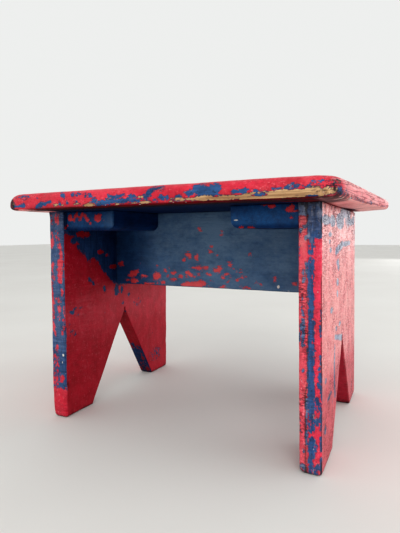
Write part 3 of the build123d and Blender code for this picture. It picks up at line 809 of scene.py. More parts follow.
    nail = np.full(len(p), 30.0)
    for nail_x, nail_y in TOP_NAILS:
        nail = np.minimum(nail, np.hypot(p[:, 0] - nail_x, p[:, 1] - nail_y))
    nail = np.where(n[:, 2] > 0.7, nail, 30.0)

    push = 0.22 * fbm(p, 46, 2, 21) + 0.10 * fbm(p, 13, 2, 22)
    push = push - np.maximum(push, 0) * 0.8 - 0.25 * np.exp(-((nail / 3.6) ** 4))
    push = push + dents(p, [
        (146, -146, 241, 5, 0.9), (-120, -146, 240, 4, 0.7), (60, -146, 229, 6, 0.8), (-20, -146, 242, 3, 0.6),
        (177, -60, 238, 6, 0.8), (174, 20, 240, 7, 0.7), (-177, 40, 238, 5, 0.8), (20, 146, 241, 5, 0.8),
        (-90, 146, 232, 6, 0.8), (110, 146, 240, 4, 0.7), (40, 30, 243, 7, 0.35), (-60, -40, 243, 5, 0.3),
    ])
    worn_away = 0.25 * smooth(-0.5, 1.0, wood) * (n[:, 2] > -0.6)
    p2 = bumps(p, n, push - worn_away)
    p2 = np.clip(p2, TOP_LO, TOP_HI)
    ob = make_mesh("worn_top_board", p2, quads, uv, dict(
        blue=np.clip(blue, -6, 6), wood=np.clip(wood, -6, 6), grime_and_shade=np.clip(grime_and_shade, 0, 1.2),
        craze=np.where(front > 0, 0.55 + 0.6 * smooth(140, 156, sx), np.where(upper > 0.5, 0.5, 0.35)),
        ends=np.where(right_side | (a > -7), 1.0, 0.0) * (n[:, 2] < 0.8) * ~beneath * smooth(120, 160, np.abs(x)),
        dust_and_sheen=np.clip(dust_and_sheen, 0, 1), nail=np.clip(nail, 0, 30), painted_shade=np.clip(painted_shade, 0, 1), chalk=np.clip(chalk, -4, 4)))
    return ob


# ---------------------------------------------------------------------------
# End boards
# ---------------------------------------------------------------------------


def build_leg(side):
    if side < 0:
        peak, half, yc, name = 103.5, 65.4, 1.0, "worn_left_end_board"
        foot_in, foot_out, over = 2.5, 5.0, 3.5
    else:
        peak, half, yc, name = 93.5, 62.0, 3.5, "worn_right_end_board"
        foot_in, foot_out, over = 5.0, 3.0, 1.2
    kerf = 0.8
    top = peak + over                       # the saw ran a little past the peak
    f_slope = (half - kerf) / peak

    def v_front(z):
        return np.where(z < peak, yc - half + f_slope * z, yc - kerf)

    def v_rear(z):
        return np.where(z < peak, yc + half - f_slope * z, yc + kerf)

    # rows and columns
    low = spaced(top, 1.45, (0.5, 0.9, 1.3))
    up = top + spaced(SEAT - top, 1.45, (0.6, 1.0))[1:]
    zs = np.concatenate([low, up])
    nlow = len(low)
    tcol = spaced(HALF_LEG, 1.4, (0.5, 0.85, 1.2, 1.5)) / HALF_LEG
    acol = spaced(THICK, 1.15, (0.55, 0.9, 1.2))
    Z = zs[:, None] + 0 * tcol[None, :]
    YA = FRONT + (v_front(Z) - FRONT) * tcol[None, :]
    YB = v_rear(Z) + (HALF_LEG - v_rear(Z)) * tcol[None, :]

    sh = Shell()
    g = 4.0
    W2 = 2 * HALF_LEG

    def face(Y, Zc, a):
        out = np.zeros(Y.shape + (3,))
        out[..., 0], out[..., 1], out[..., 2] = a, Y, Zc
        return out

    def face_uv(Y, Zc, which):
        # the two faces one over the other, the strips beside them
        return np.stack([Y + HALF_LEG, Zc + which * (SEAT + g)], -1)

    for a, which, flip in ((THICK, 0, False), (0.0, 1, True)):
        sh.patch(face(YA, Z, a), face_uv(YA, Z, which), flip)
        sh.patch(face(YB, Z, a), face_uv(YB, Z, which), flip)
        zk = zs[nlow - 1:]
        YK = np.stack([np.full(len(zk), yc - kerf), np.full(len(zk), yc + kerf)], -1)
        ZK = zk[:, None] + 0 * YK
        sh.patch(face(YK, ZK, a), face_uv(YK, ZK, which), flip)

    wide = 1.5
    x0 = W2 + g
    w = THICK * wide + g

    def strip(ycurve, zcurve, at, flip):
        A, Zs = np.meshgrid(acol, zcurve)
        Y = np.repeat(ycurve[:, None], len(acol), 1)
        run = np.concatenate([[0], np.cumsum(np.hypot(np.diff(ycurve), np.diff(zcurve)))])
        uvs = np.stack([at[0] + A * wide, at[1] + np.repeat(run[:, None], len(acol), 1)], -1)
        sh.patch(np.stack([A, Y, Zs], -1), uvs, flip)

    strip(YA[:, 0], zs, (x0, 0), False)                                  # front edge
    strip(YB[:, -1], zs, (x0, SEAT + g), True)                           # rear edge
    strip(YA[:nlow, -1], zs[:nlow], (x0 + w, 0), True)                   # the V's two sides
    strip(YB[:nlow, 0], zs[:nlow], (x0 + w, 130), False)

    def flat(yrow, z, at, flip):
        A, Y = np.meshgrid(acol, yrow)
        uvs = np.stack([at[0] + A * wide, at[1] + (Y - yrow[0])], -1)
        sh.patch(np.stack([A, Y, np.full(A.shape, z)], -1), uvs, flip)

    # upper end, feet and the kerf's end
    flat(YA[-1], SEAT, (x0 + w, 262), False)
    flat(np.array([yc - kerf, yc + kerf]), SEAT, (x0 + w, 262 + HALF_LEG), False)
    flat(YB[-1], SEAT, (x0 + w, 262 + HALF_LEG + 2), False)
    flat(YA[0], 0.0, (x0 + 2 * w, 0), True)
    flat(YB[0], 0.0, (x0 + 2 * w, 60), True)
    flat(np.array([yc - kerf, yc + kerf]), top, (x0 + 2 * w, 120), True)
    pts, quads, uv = sh.done()

    fc = 1 / math.hypot(1, f_slope)

    def parts(p):
        a, y, z = p[:, 0], p[:, 1], p[:, 2]
        # the notch, negative inside it
        g1 = (yc - half + f_slope * z - y) * fc
        g2 = (y - (yc + half - f_slope * z)) * fc
        tri = np.maximum(g1, g2)
        slot = np.maximum(np.abs(y - yc) - kerf, z - top)
        tri = np.maximum(tri, z - peak)
        notch = np.minimum(tri, slot)
        up = lifted(INNER + a, y) if side > 0 else 0.0
        return -a, a - THICK, FRONT - y, y - HALF_LEG, -z, z - SEAT - up, -notch

    def depth(p):
        d_in, d_out, d_f, d_r, d_b, d_t, d_n = parts(p)
        z = p[:, 2]
        wear = 0.5 * fbm(p, 20, 2, 31 + side) + 0.7 * np.maximum(fbm(p, 8, 2, 33 + side), 0)
        r_edge = np.clip(1.9 + wear, 0.9, 4.0)
        near_floor = np.exp(-z / 7.0)
        r_n = np.clip(1.1 + 0.4 * wear, 0.5, 2.0) * smooth(top + 6, top - 30, z) + 0.25
        # profile: front, rear and foot
        prof = rmax(np.maximum(d_f, d_r), d_b, np.full(len(p), 3.2))
        prof = np.maximum(prof, d_t)
        r_in = np.clip(r_edge + (foot_in - 1.5) * near_floor, 0.8, 6)
        r_out = np.clip(r_edge + (foot_out - 1.5) * near_floor, 0.8, 6)
        fade = smooth(SEAT - 1, SEAT - 6, z) * 1.0 + 0.0
        r_in = r_in * (0.25 + 0.75 * fade)
        r_out = r_out * (0.25 + 0.75 * fade)
        d = rmax(prof, d_in, r_in)
        d = rmax(d, d_out, r_out)
        body_n = rmax(rmax(d_n, d_in, r_n), d_out, r_n)
        d = np.maximum(d, body_n)
        # the V meets the foot's sole with a small round
        corner = rmax(d_n, d_b, np.full(len(p), 1.4))
        return np.where(z < 8, np.maximum(d, corner), d)

    p, n = settle(pts, depth)
    d_in, d_out, d_f, d_r, d_b, d_t, d_n = parts(p)
    a, y, z = p[:, 0], p[:, 1], p[:, 2]
    rim = np.maximum(-second_largest([d_in, d_out, np.maximum(d_f, d_r), d_b, d_n]), 0)
    world = np.stack([MID + side * (INNER + LEAN * (SEAT - z) + a), y, z], -1)
    nw = np.stack([n[:, 0] * side, n[:, 1], n[:, 2]], -1)

    on_front = d_f > -2.2
    on_rear = d_r > -2.2
    on_out = (d_out > -1.6) & ~on_front
    on_in = (d_in > -1.6) & ~on_front
    on_notch = d_n > -0.8

    big = fbm(world, 26, 4, 41 + side, (1, 1, 1.7))
    mid = fbm(world, 8, 3, 43 + side, (1, 1, 1.9))
    long = fbm(world, 7, 3, 45 + side, (1, 1, 6))
    near_top = smooth(SEAT - 34, SEAT - 4, z)
    blue = -2.9 + 2.2 * big + 1.5 * mid + 2.1 * np.exp(-rim / 2.2) + 2.3 * near_top
    wood = -4.6 + 1.8 * mid + 1.2 * long + 1.6 * np.exp(-rim / 1.5)
    u = (a - THICK / 2) * side              # across an edge, to the right
    stripe = 3.2 * np.exp(-(((u + 0.5) / 3.4) ** 2)) * (0.75 + 0.7 * noise(world, 30, 48))
    blue = np.where(on_rear, np.maximum(blue, -2.6 + stripe + 1.3 * long + 1.2 * mid), blue)
    blue = np.where(on_out & (side < 0), -2.1 + 2.1 * big + 1.5 * mid + 1.9 * np.exp(-rim / 2.2) + 1.8 * near_top, blue)

    if side > 0:
        bf = np.maximum.reduce([
            boxes(u, z, [(-11, 11, 215, 232), (-2.0, 11, 197, 232), (-1.4, 3.6, 184, 200)]),
            strokes(u, z, [
                (0.8, 174, 0.8, 150, 2.5), (0.9, 150, 0.9, 107, 2.7), (0.6, 107, 0.4, 81, 2.8), (0.6, 81, 0.8, 56, 2.8),
                (1.1, 56, 1.1, 39, 2.1), (1.0, 31, 1.1, 17, 2.4), (0.4, 15, 0.0, 1, 1.8), (-3.0, 177, -2.8, 171, 0.9),
                (-5.1, 171, -5.1, 161, 0.9), (-6.5, 156, -6.6, 128, 0.55), (-5.8, 136, -5.6, 109, 1.2), (-3.0, 64, -2.8, 26, 0.9),
                (8.8, 139, 8.8, 131, 0.8), (8.4, 126, 8.5, 117, 0.9), (8.6, 102, 8.6, 95, 0.8), (7.9, 87, 8.4, 80, 1.2),
                (8.9, 76, 9.0, 62, 0.9), (8.8, 56, 9.0, 40, 0.9), (8.9, 34, 9.0, 22, 1.0), (8.8, 16, 8.8, 5, 0.9),
                (-8.6, 190, -8.6, 183, 0.5), (-8.7, 120, -8.7, 112, 0.5), (-8.5, 46, -8.4, 36, 0.6),
            ]),
            ellipses(u, z, [
                (-3.7, 206.7, 1.7, 2.1), (-7.4, 203.3, 2.1, 1.6), (-3.2, 197.3, 1.5, 2.1), (-7.3, 125, 0.8, 3.5), (7.2, 91, 0.9, 1.5),
                (6.3, 77.5, 1.5, 2.4), (-6.3, 88, 1.1, 1.6), (-5.2, 20, 0.9, 2.0), (6.5, 9, 1.4, 2.0), (-6.0, 6, 2.0, 2.4), (4.9, 105, 0.7, 1.8),
            ]),
            np.minimum(ellipses(u, z, [(1.2, 178, 2.2, 3.8), (6.0, 60, 2.8, 7), (5.6, 46.5, 2.2, 3.2), (3.6, 26, 2.0, 5), (-6.5, 4, 3.5, 5), (5, 4, 4, 5)]), 0.25),
        ])
        bf = bf + 0.3 * long
        red_back = ellipses(u, z, [(0.2, 189, 0.7, 3.0), (2.3, 112, 0.6, 2.6), (1.6, 166, 0.5, 2.0), (0.3, 44, 0.6, 3.5), (1.8, 131, 0.5, 1.6)])
        bf = np.minimum(bf, np.where(red_back > -1.0, -red_back, 9))
        wf = np.full(len(p), -4.0)
        speck = ellipses(u, z, [(6.0, 154.0, 1.1, 0.8), (1.6, 156.0, 0.8, 0.8), (-1.8, 99, 0.6, 0.5), (6.4, 41, 0.7, 0.5), (-6.4, 131, 0.5, 0.5)])
        bo = np.maximum.reduce([
            ellipses(y, z, [
                (-88, 212, 20, 4.2), (-56, 212, 14, 5), (-12, 213, 25, 8), (20, 222, 30, 5), (62, 214, 26, 4),
                (-70, 200, 9, 1.6), (-73, 194, 4.5, 1.8), (-67, 186, 5, 2.4), (-27, 173, 8, 3), (-22, 168, 6, 3),
                (-27, 154, 6, 4), (-28, 143, 5, 3), (-62, 132, 7, 2.2), (-14, 111, 6, 2), (-35, 110, 4, 2),
                (-90, 76, 4, 3), (-93, 34, 5, 3), (90, 216, 12, 5),
            ]),
            strokes(y, z, [
                (-37, 184, 4, 190, 3.4), (4, 190, 60, 190, 2.2), (-42, 103, 0, 94, 2.4), (-44, 94, -47, 62, 3.0),
                (-47, 62, -42, 48, 3.2), (-82, 56, -62, 57, 1.4),
            ]),
        ])
        bo = bo + 1.0 * mid + 0.15
        # the far half isn't so easily made out: a looser pattern carries on there
        loose = -2.3 + 2.2 * big + 1.5 * mid + 1.8 * np.exp(-rim / 2.2) + 1.4 * near_top
        bo = np.where(y > 20, np.maximum(bo, loose), np.maximum(bo, loose - 1.5))
        blue = np.where(on_front, np.maximum(bf, -3.2 + 1.2 * mid + 1.9 * np.exp(-rim / 1.2)), blue)
        wood = np.where(on_front, np.maximum(wf, -5 + 1.2 * mid + 1.2 * np.exp(-rim / 1.0)), wood)
        blue = np.where(on_out, bo, blue)
    else:
        w_in = u                                  # to the right, which is inwards here
        full = np.maximum.reduce([
            ellipses(w_in, z, [
                (-6.4, 192, 2.9, 5.5), (6.6, 139, 1.8, 5.0), (-6.2, 101, 3.0, 5.6), (5.6, 96, 1.2, 3.6), (-4.6, 94, 1.8, 3.4),
                (1.9, 218, 2.0, 4.4), (-6.0, 217, 1.2, 3.4), (8.6, 118, 0.8, 5),
            ]),
            strokes(w_in, z, [(5.8, 183, 5.0, 173, 2.0), (4.7, 173, 4.4, 153, 3.6), (4.4, 193, 4.9, 187, 2.2), (-8.8, 204, -8.7, 189, 1.3)]),
        ])
        dull = np.maximum.reduce([
            boxes(w_in, z, [(-11, -3.8, 152, 172), (-11, -6.2, 131, 152), (-11, -5.0, 98, 131), (-11, -0.6, 36, 74)]),
            ellipses(w_in, z, [
                (-5.9, 217.5, 2.2, 5.6), (2.2, 218, 3.3, 6.5), (-6.2, 196, 3.4, 9), (1.5, 130.5, 4.8, 3.0), (2.6, 121.5, 3.0, 3.8), (2.4, 111, 3.9, 2.8),
                (-2.4, 78.5, 2.2, 3.4), (3.4, 45, 3.2, 6), (7.8, 105, 1.4, 8),
            ]),
            strokes(w_in, z, [(1.4, 203, 2.0, 196, 2.5), (2.0, 196, 4.8, 188, 3.0)]),
        ])
        reds = np.maximum(full, np.minimum(dull, 0.30))
        reds = np.maximum(reds, np.clip((33 - z) * 0.5, -6, 3))
        bf = np.clip(-1.15 * reds + 0.15, -3, 2.4) + 0.5 * fbm(world, 5.5, 3, 47, (1, 1, 1.8))
        blue = np.where(on_front, bf + 0.2 * long, blue)
        wood = np.where(on_front, -5.0, wood)
        speck = ellipses(w_in, z, [(6.6, 70.5, 1.8, 1.9), (5.2, 62, 0.6, 2.2)])
        # the inner face
        above = under(y, z, [
            (-110, 207), (-100, 200), (-95, 193), (-84, 186), (-76, 179), (-68, 171), (-56, 172), (-50, 169), (-44, 160),
            (-36, 153), (-28, 146), (-20, 140), (-10, 138), (5, 138), (30, 150), (60, 172), (90, 196), (110, 206),
        ])
        above = np.clip(above * 0.55, -5, 3) + 0.5 * mid
        island_r = ellipses(y, z, [
            (-98, 199, 7, 2.4), (-76, 202, 12, 3.8), (-46, 181, 6, 2.6), (-60, 171, 6, 3.2), (-22, 162, 8, 3), (-106, 209, 5, 1.5),
            (-34, 176, 3, 1.6), (-88, 191, 4, 1.6),
        ])
        above = np.minimum(above, -island_r)
        spots = np.maximum.reduce([
            ellipses(y, z, [
                (-40, 136, 3.2, 3.6), (-16, 131, 5, 7), (-5, 131, 3, 5), (-97, 116, 3.4, 2.4), (-92, 119.5, 2, 1),
                (-83, 119, 2.2, 1.2), (-88, 112, 2, 1), (10, 123, 4, 2), (-3, 113, 3, 2), (80, 26, 4, 3), (-100, 103, 1.2, 1.5),
            ]),
            strokes(y, z, [(-68, 151, -59, 143, 1.7)]),
            np.minimum(ellipses(y, z, [(76, 26, 16, 9), (30, 110, 9, 5), (-96, 92, 5, 4)]), -0.35),
        ])
        bi = np.maximum(above, spots - 0.3)
        bi = np.maximum(bi, -3.6 + 1.6 * mid + 1.7 * np.exp(-rim / 1.6))
        blue = np.where(on_in, bi, blue)
        wood = np.where(on_in, wood - 0.8, wood)
    if side > 0:
        # its inner face: red below, blue up by the cleats
        lim = np.interp(np.abs(y), (0, 20, 60, 108), (140, 148, 178, 205)) + 9 * big + 3 * mid
        blue = np.where(on_in, np.maximum(np.clip((z - lim) * 0.5, -4, 3), -2.9 + 1.8 * mid + 1.7 * np.exp(-rim / 1.6)), blue)
    in_v = -3.4 + 1.8 * mid + 1.4 * np.exp(-rim / 1.8)
    if side < 0:
        in_v = in_v + (4.4 * smooth(70, 34, z) + 1.2 * mid) * (y > yc)
    blue = np.where(on_notch & ~on_front, in_v, blue)
    wood = np.where(on_notch & ~on_front, wood - 0.3, wood)

    chalk = np.where(on_front | (d_f > -4), speck - 0.35, -4.0)
    craze = np.full(len(p), 0.45)
    rough_patch = smooth(-20, -80, y) * smooth(20, 60, z) * smooth(180, 140, z)
    if side < 0:
        craze = np.where(on_in, 0.04 + 0.36 * rough_patch, 0.35)
        craze = np.where(on_front, 0.9, craze)
    else:
        craze = np.where(on_front, np.where(u < -2, 1.1, 0.30) * smooth(190, 150, z) + 0.25 + 1.0 * smooth(188, 202, z), craze)
        craze = np.where(on_out, 0.90 + 0.4 * smooth(170, 215, z), craze)
    # painted shade: paint is darkened where shade falls, on the inner faces, in the V, just under the top and on the
    # soles
    painted_shade = np.zeros(len(p))
    if side < 0:
        # a paler band across the inner face, painted sheen, eases the painted shade there
        sheen = np.exp(-(((z - 108) / 30) ** 2)) * (0.7 + 0.3 * smooth(-90, 0, y))
        painted_shade = np.where(on_in, 0.54 - 0.26 * sheen, painted_shade)
        painted_shade = np.where(on_in, painted_shade + 0.40 * np.exp(-np.abs(y + 20) / 16.0) * smooth(130, 150, z), painted_shade)
        painted_shade = np.where(on_in, painted_shade + 0.25 * smooth(185, 215, z), painted_shade)
        painted_shade = np.where(on_in & (y > 0), painted_shade - 0.08, painted_shade)
    else:
        painted_shade = np.where(on_in, 0.42 + 0.3 * smooth(150, 215, z), painted_shade)
        # painted reflection on the right board's outer face: darker below a slanting line
        painted_shade = np.where(on_out, 0.34 * smooth(94, 60, z + 10 * smooth(-60, 60, y)) + 0.03, painted_shade)
    painted_shade = np.where(on_notch & ~on_front, 0.70 + 0.14 * smooth(70, 40, z) * (side < 0), painted_shade)
    painted_shade = painted_shade + 0.30 * on_front * smooth(SEAT - 5, SEAT, z)
    painted_shade = np.where(d_b > -1.5, 0.7, painted_shade)

    grime_and_shade = 0.14 * smooth(-0.3, 1.2, fbm(world, 34, 3, 51 + side, (1, 1, 2))) * ~on_front * (~on_out | (side < 0))
    grime_and_shade = grime_and_shade + 0.75 * np.exp(-z / 3.6) + 0.45 * smooth(SEAT - 7, SEAT - 1, z)
    grime_and_shade = grime_and_shade + 0.15 * on_notch
    if side > 0:
        grime_and_shade = grime_and_shade + 0.16 * on_front * smooth(SEAT - 22, SEAT - 3, z)
        split = -2.2 + 0.3 * noise(world, 14, 57) - 1.5 * smooth(82, 66, z)
        grime_and_shade = grime_and_shade + 0.95 * on_front * np.exp(-(((u - split) / 0.7) ** 2)) * smooth(-0.8, 0.2, noise(world, 18, 58) + 0.35)
        grime_and_shade = grime_and_shade + 0.85 * on_front * np.exp(-(((u - 9.0) / 0.65) ** 2)) * smooth(-0.7, 0.3, noise(world, 9, 59) + 0.2)
    dust_and_sheen = 0.04 + 0.03 * big
    if side > 0:
        # painted sheen on the right board's outer face: pale pink above a slanting line, with some dust
        dust_and_sheen = dust_and_sheen + on_out * (0.18 + 0.62 * smooth(62, 96, z + 12 * smooth(-40, 70, y)) * (0.85 + 0.25 * big))
    else:
        # dust, and the painted sheen band across the inner face
        dust_and_sheen = dust_and_sheen + 0.10 * on_out + 0.13 * on_in * np.exp(-(((z - 106) / 24) ** 2))
    if side > 0:
        dust_and_sheen = np.where(on_front, 0.03 + 0.20 * smooth(-1.5, -3, u) + 0.10 * smooth(196, 212, z), dust_and_sheen)
        # a painted highlight on the outer face just past its front arris
        dust_and_sheen = dust_and_sheen + 0.45 * on_out * smooth(-4.2, -2.6, d_f)
        crusty = smooth(186, 204, z) * (on_front | on_out)
        dust_and_sheen = dust_and_sheen + 0.50 * crusty * smooth(0.15, 0.6, noise(world, 2.6, 70, (1, 1, 1.6)))
        grime_and_shade = grime_and_shade + 0.40 * crusty * smooth(0.15, 0.6, noise(world, 2.4, 72, (1, 1, 1.6)))
    else:
        dust_and_sheen = np.where(on_front, 0.13 + 0.30 * smooth(60, 90, z) + 0.15 * np.exp(-(((z - 225) / 12) ** 2)), dust_and_sheen)
        grime_and_shade = grime_and_shade + 0.75 * on_in * np.exp(-(((y + 106) / 3.2) ** 2 + ((z - 36) / 5.0) ** 2))
        tilted = np.stack([world[:, 0], y - 0.2 * z, z + 0.16 * y], -1)
        scratch = np.abs(noise(tilted, 2.4, 68, (1, 16, 1))) < 0.11
        near = np.exp(-(((y + 82) / 22) ** 2 + ((z - 112) / 17) ** 2)) + 0.35 * np.exp(-(((y + 60) / 40) ** 2 + ((z - 60) / 40) ** 2))
        dust_and_sheen = dust_and_sheen + 0.30 * on_in * scratch * near
        grime_and_shade = grime_and_shade + 0.22 * on_in * near * (np.abs(noise(tilted, 2.8, 69, (1, 14, 1))) < 0.10)

    nail = np.full(len(p), 30.0)
    for ny, nz in [(-80, 216.2), (-46, 216.2), (44, 216.2), (78, 216.2), (-6, 158.0), (-6, 190.0)]:
        nail = np.minimum(nail, np.hypot(y - ny, z - nz))
    nail = np.where(d_out > -1.0, nail, 30.0)

    push = 0.16 * fbm(world, 40, 2, 61 + side) + 0.09 * fbm(world, 10, 2, 63 + side, (1, 1, 3))
    push = push - np.maximum(push, 0) * 0.85
    push = push - 0.22 * np.exp(-((nail / 3.6) ** 4))
    if side < 0:
        wave = noise(world, 3.6, 66, (1, 9, 1)) + 0.5 * noise(world, 2.2, 67, (1, 9, 1))
        push = push + on_in * 0.16 * (0.25 + rough_patch) * (wave - 0.6)
    # saw marks down the V
    push = push - on_notch * 0.10 * (0.5 + 0.5 * np.sin(z * 1.9 + 0.8 * np.sin(z * 0.37)))
    keep = smooth(0, 3, z)
    p2 = world + nw * (push * keep)[:, None]
    lo, hi = (LEG_LO, LEG_HI) if side < 0 else (RLEG_LO, RLEG_HI)
    p2 = np.clip(p2, lo, hi + np.array([0, 0, 3.0 if side > 0 else 0.0]))
    if side < 0:
        quads, uv = quads[:, ::-1], uv[:, ::-1]
    return make_mesh(name, p2, quads, uv, dict(
        blue=np.clip(blue, -6, 6), wood=np.clip(wood, -6, 6), grime_and_shade=np.clip(grime_and_shade, 0, 1.2),
        dust_and_sheen=np.clip(dust_and_sheen, 0, 1), nail=np.clip(nail, 0, 30), painted_shade=np.clip(painted_shade, 0, 1), chalk=np.clip(chalk, -4, 4),
        craze=np.clip(craze, 0, 1.4)))


# ---------------------------------------------------------------------------
# Stretcher and cleats
# ---------------------------------------------------------------------------


def build_stretcher():
    y0, y1 = float(STR_LO[1]), float(STR_HI[1])
    z0 = float(STR_LO[2])
    reach = INNER + LEAN * (SEAT - z0)

    def planes(p):
        x, y, z = p[:, 0] - MID, p[:, 1], p[:, 2]
        r = INNER + LEAN * (SEAT - z)
        return -r - x, x - r, y0 - y, y - y1, z0 - z, z - SEAT

    def depth(p):
        a, b, c, d, e, f = planes(p)
        wear = 0.4 * fbm(p, 18, 2, 71) + 0.5 * np.maximum(fbm(p, 7, 2, 72), 0)
        prof = rmax(np.maximum(c, d), e, np.clip(1.5 + wear, 0.7, 3))
        return np.maximum(np.maximum(prof, f), np.maximum(a, b))

    def skew(p):
        out = p.copy()
        x = p[..., 0] - MID
        out[..., 0] = MID + x * (INNER + LEAN * (SEAT - p[..., 2])) / reach
        return out

    pts, quads, uv = box_shell((MID - reach, y0, z0), (MID + reach, y1, SEAT), (1.4, 1.3, 1.25), "edge", skew)
    p, n = settle(pts, depth)
    x, z = p[:, 0], p[:, 2]
    a, b, c, d, e, f = planes(p)
    rim = np.maximum(-second_largest([np.maximum(c, d), e]), 0)
    mid = fbm(p, 8, 3, 73, (1.8, 1, 1))
    big = fbm(p, 26, 3, 74, (1.6, 1, 1))
    # red drips and dabs left on the blue
    reds = ellipses(x, z, [
        (-22, 142.5, 15, 4.6), (-12, 145.5, 7, 3), (-105, 153, 7.5, 4.0, 18), (-100, 157, 3.4, 2.2), (-123, 165, 4, 4), (-71, 151, 6.4, 4.4, 20),
        (-48, 148, 3.6, 2), (-38, 152, 3.2, 2), (-27, 155, 5.6, 2.8, -25), (-28, 178, 4, 3), (-25.5, 175, 1.6, 3),
        (-17, 175, 2.4, 4.8), (-34, 172, 2.2, 1.8), (-5.5, 163.5, 4.2, 2.4, 10), (-10, 162, 2.0, 1.6), (-2, 156, 4.4, 1.8, -8),
        (8, 160.5, 5.4, 3.0, 5), (12, 163.5, 2.6, 1.8), (5, 161.5, 2.5, 2), (0.3, 182, 2.6, 2.6), (1.7, 187.5, 2.6, 1.8), (14, 202.5, 2.3, 3.4),
        (-13, 207, 3.2, 1.7, -15), (-10.5, 205.6, 1.7, 1.1), (24, 167, 2.4, 3.2), (22.6, 169.5, 1.4, 1), (48, 180, 2.0, 2.3), (20.5, 157, 2.6, 2),
        (15.5, 152.5, 2.6, 2.2, 30), (32.5, 160.5, 2.2, 1.8), (37.5, 161, 1.9, 1.6), (33, 151, 3.4, 1.8, 20), (37.5, 153.5, 1.8, 1.2),
        (75, 152, 1.8, 2.8), (75, 155, 1.2, 1), (42, 143, 3.2, 1.4), (47, 142, 2, 1.6), (15, 142, 4, 2), (-60, 159, 3.2, 2),
        (-48, 156, 4, 1.8, 20), (-90, 151, 5, 1.8), (-104, 144, 6, 3), (-114, 145, 3, 2), (-62, 144, 4, 2, 30), (-82, 141.5, 6, 1.6),
        (2, 148, 2.2, 1.8), (97, 148, 3.2, 2), (-15, 162.5, 5, 2.2), (-70, 163, 1.6, 1.2), (8, 177.5, 1.4, 1.2), (-22, 163, 1.4, 1),
        (112, 146, 2, 2), (-15, 155, 1.5, 1.2), (-56, 153, 2, 1.2), (60, 147, 1.2, 1),
    ])
    dots = np.random.default_rng(7)
    tiny = [(cx, 142 + 26 * cz, r, r * 0.8) for cx, cz, r in zip(dots.uniform(-100, 56, 34), dots.uniform(0, 1, 34) ** 1.6, dots.uniform(0.5, 1.1, 34))]
    reds = np.maximum(reds, ellipses(x, z, tiny))
    blue = np.where(c > -2.2, -reds * 0.8 + 0.3, 0.0)
    back = 2.4 - 2.2 * np.maximum(fbm(p, 13, 3, 75, (1.6, 1, 1)), 0) * smooth(190, 140, z) * 2.6
    blue = np.where(d > -2.2, np.minimum(back, 3), blue)
    blue = np.where((e > -1.0), np.minimum(1.6 + 2.4 * big + 1.6 * mid, 3), blue)
    blue = np.minimum(blue, 3)
    wood = -5 + 1.6 * mid + 1.2 * np.exp(-rim / 1.0)
    chalk = np.where(c > -2.2, ellipses(x, z, [(79, 145.2, 1.7, 2.0), (90, 141.3, 1.2, 0.8), (21, 176, 0.7, 0.6), (7, 170, 0.6, 0.8)]) - 0.1, -4.0)
    wood = np.where(e > -1.0, wood - 1.5, wood)
    dust_and_sheen = np.where(c > -3, 0.57 + 0.22 * big + 0.30 * np.exp(-(((x - 5) / 60) ** 2 + ((z - 208) / 26) ** 2)), 0.3 + 0.2 * big)
    dust_and_sheen = dust_and_sheen * smooth(-112, -45, x) + 0.02
    near_end = np.minimum(-a, -b)
    grime_and_shade = 0.03 + 0.08 * big + 0.30 * smooth(SEAT - 6, SEAT, z)
    grime_and_shade = grime_and_shade + 0.4 * np.exp(-near_end / 3.0)
    # painted shade: darker towards the left end, up under the top and on the hidden faces
    painted_shade = np.where(c > -3, 0.10 + 0.62 * smooth(-70, -124, x) + 0.25 * smooth(SEAT - 16, SEAT, z), 0.30)
    painted_shade = np.where(e > -1.0, 0.6, painted_shade)
    push = 0.14 * fbm(p, 44, 2, 76) + 0.06 * fbm(p, 11, 2, 77, (3, 1, 1))
    push = push - np.maximum(push, 0) * 0.8
    push = push * smooth(0.0, 2.0, near_end)
    ob = make_mesh("worn_stretcher", bumps(p, n, push), quads, uv, dict(
        blue=blue, wood=np.clip(wood, -6, 6), grime_and_shade=np.clip(grime_and_shade, 0, 1.2), dust_and_sheen=np.clip(dust_and_sheen, 0, 1),
        nail=np.full(len(p), 30.0), painted_shade=np.clip(painted_shade, 0, 1), chalk=np.clip(chalk, -4, 4), craze=np.zeros(len(p))))
    return ob


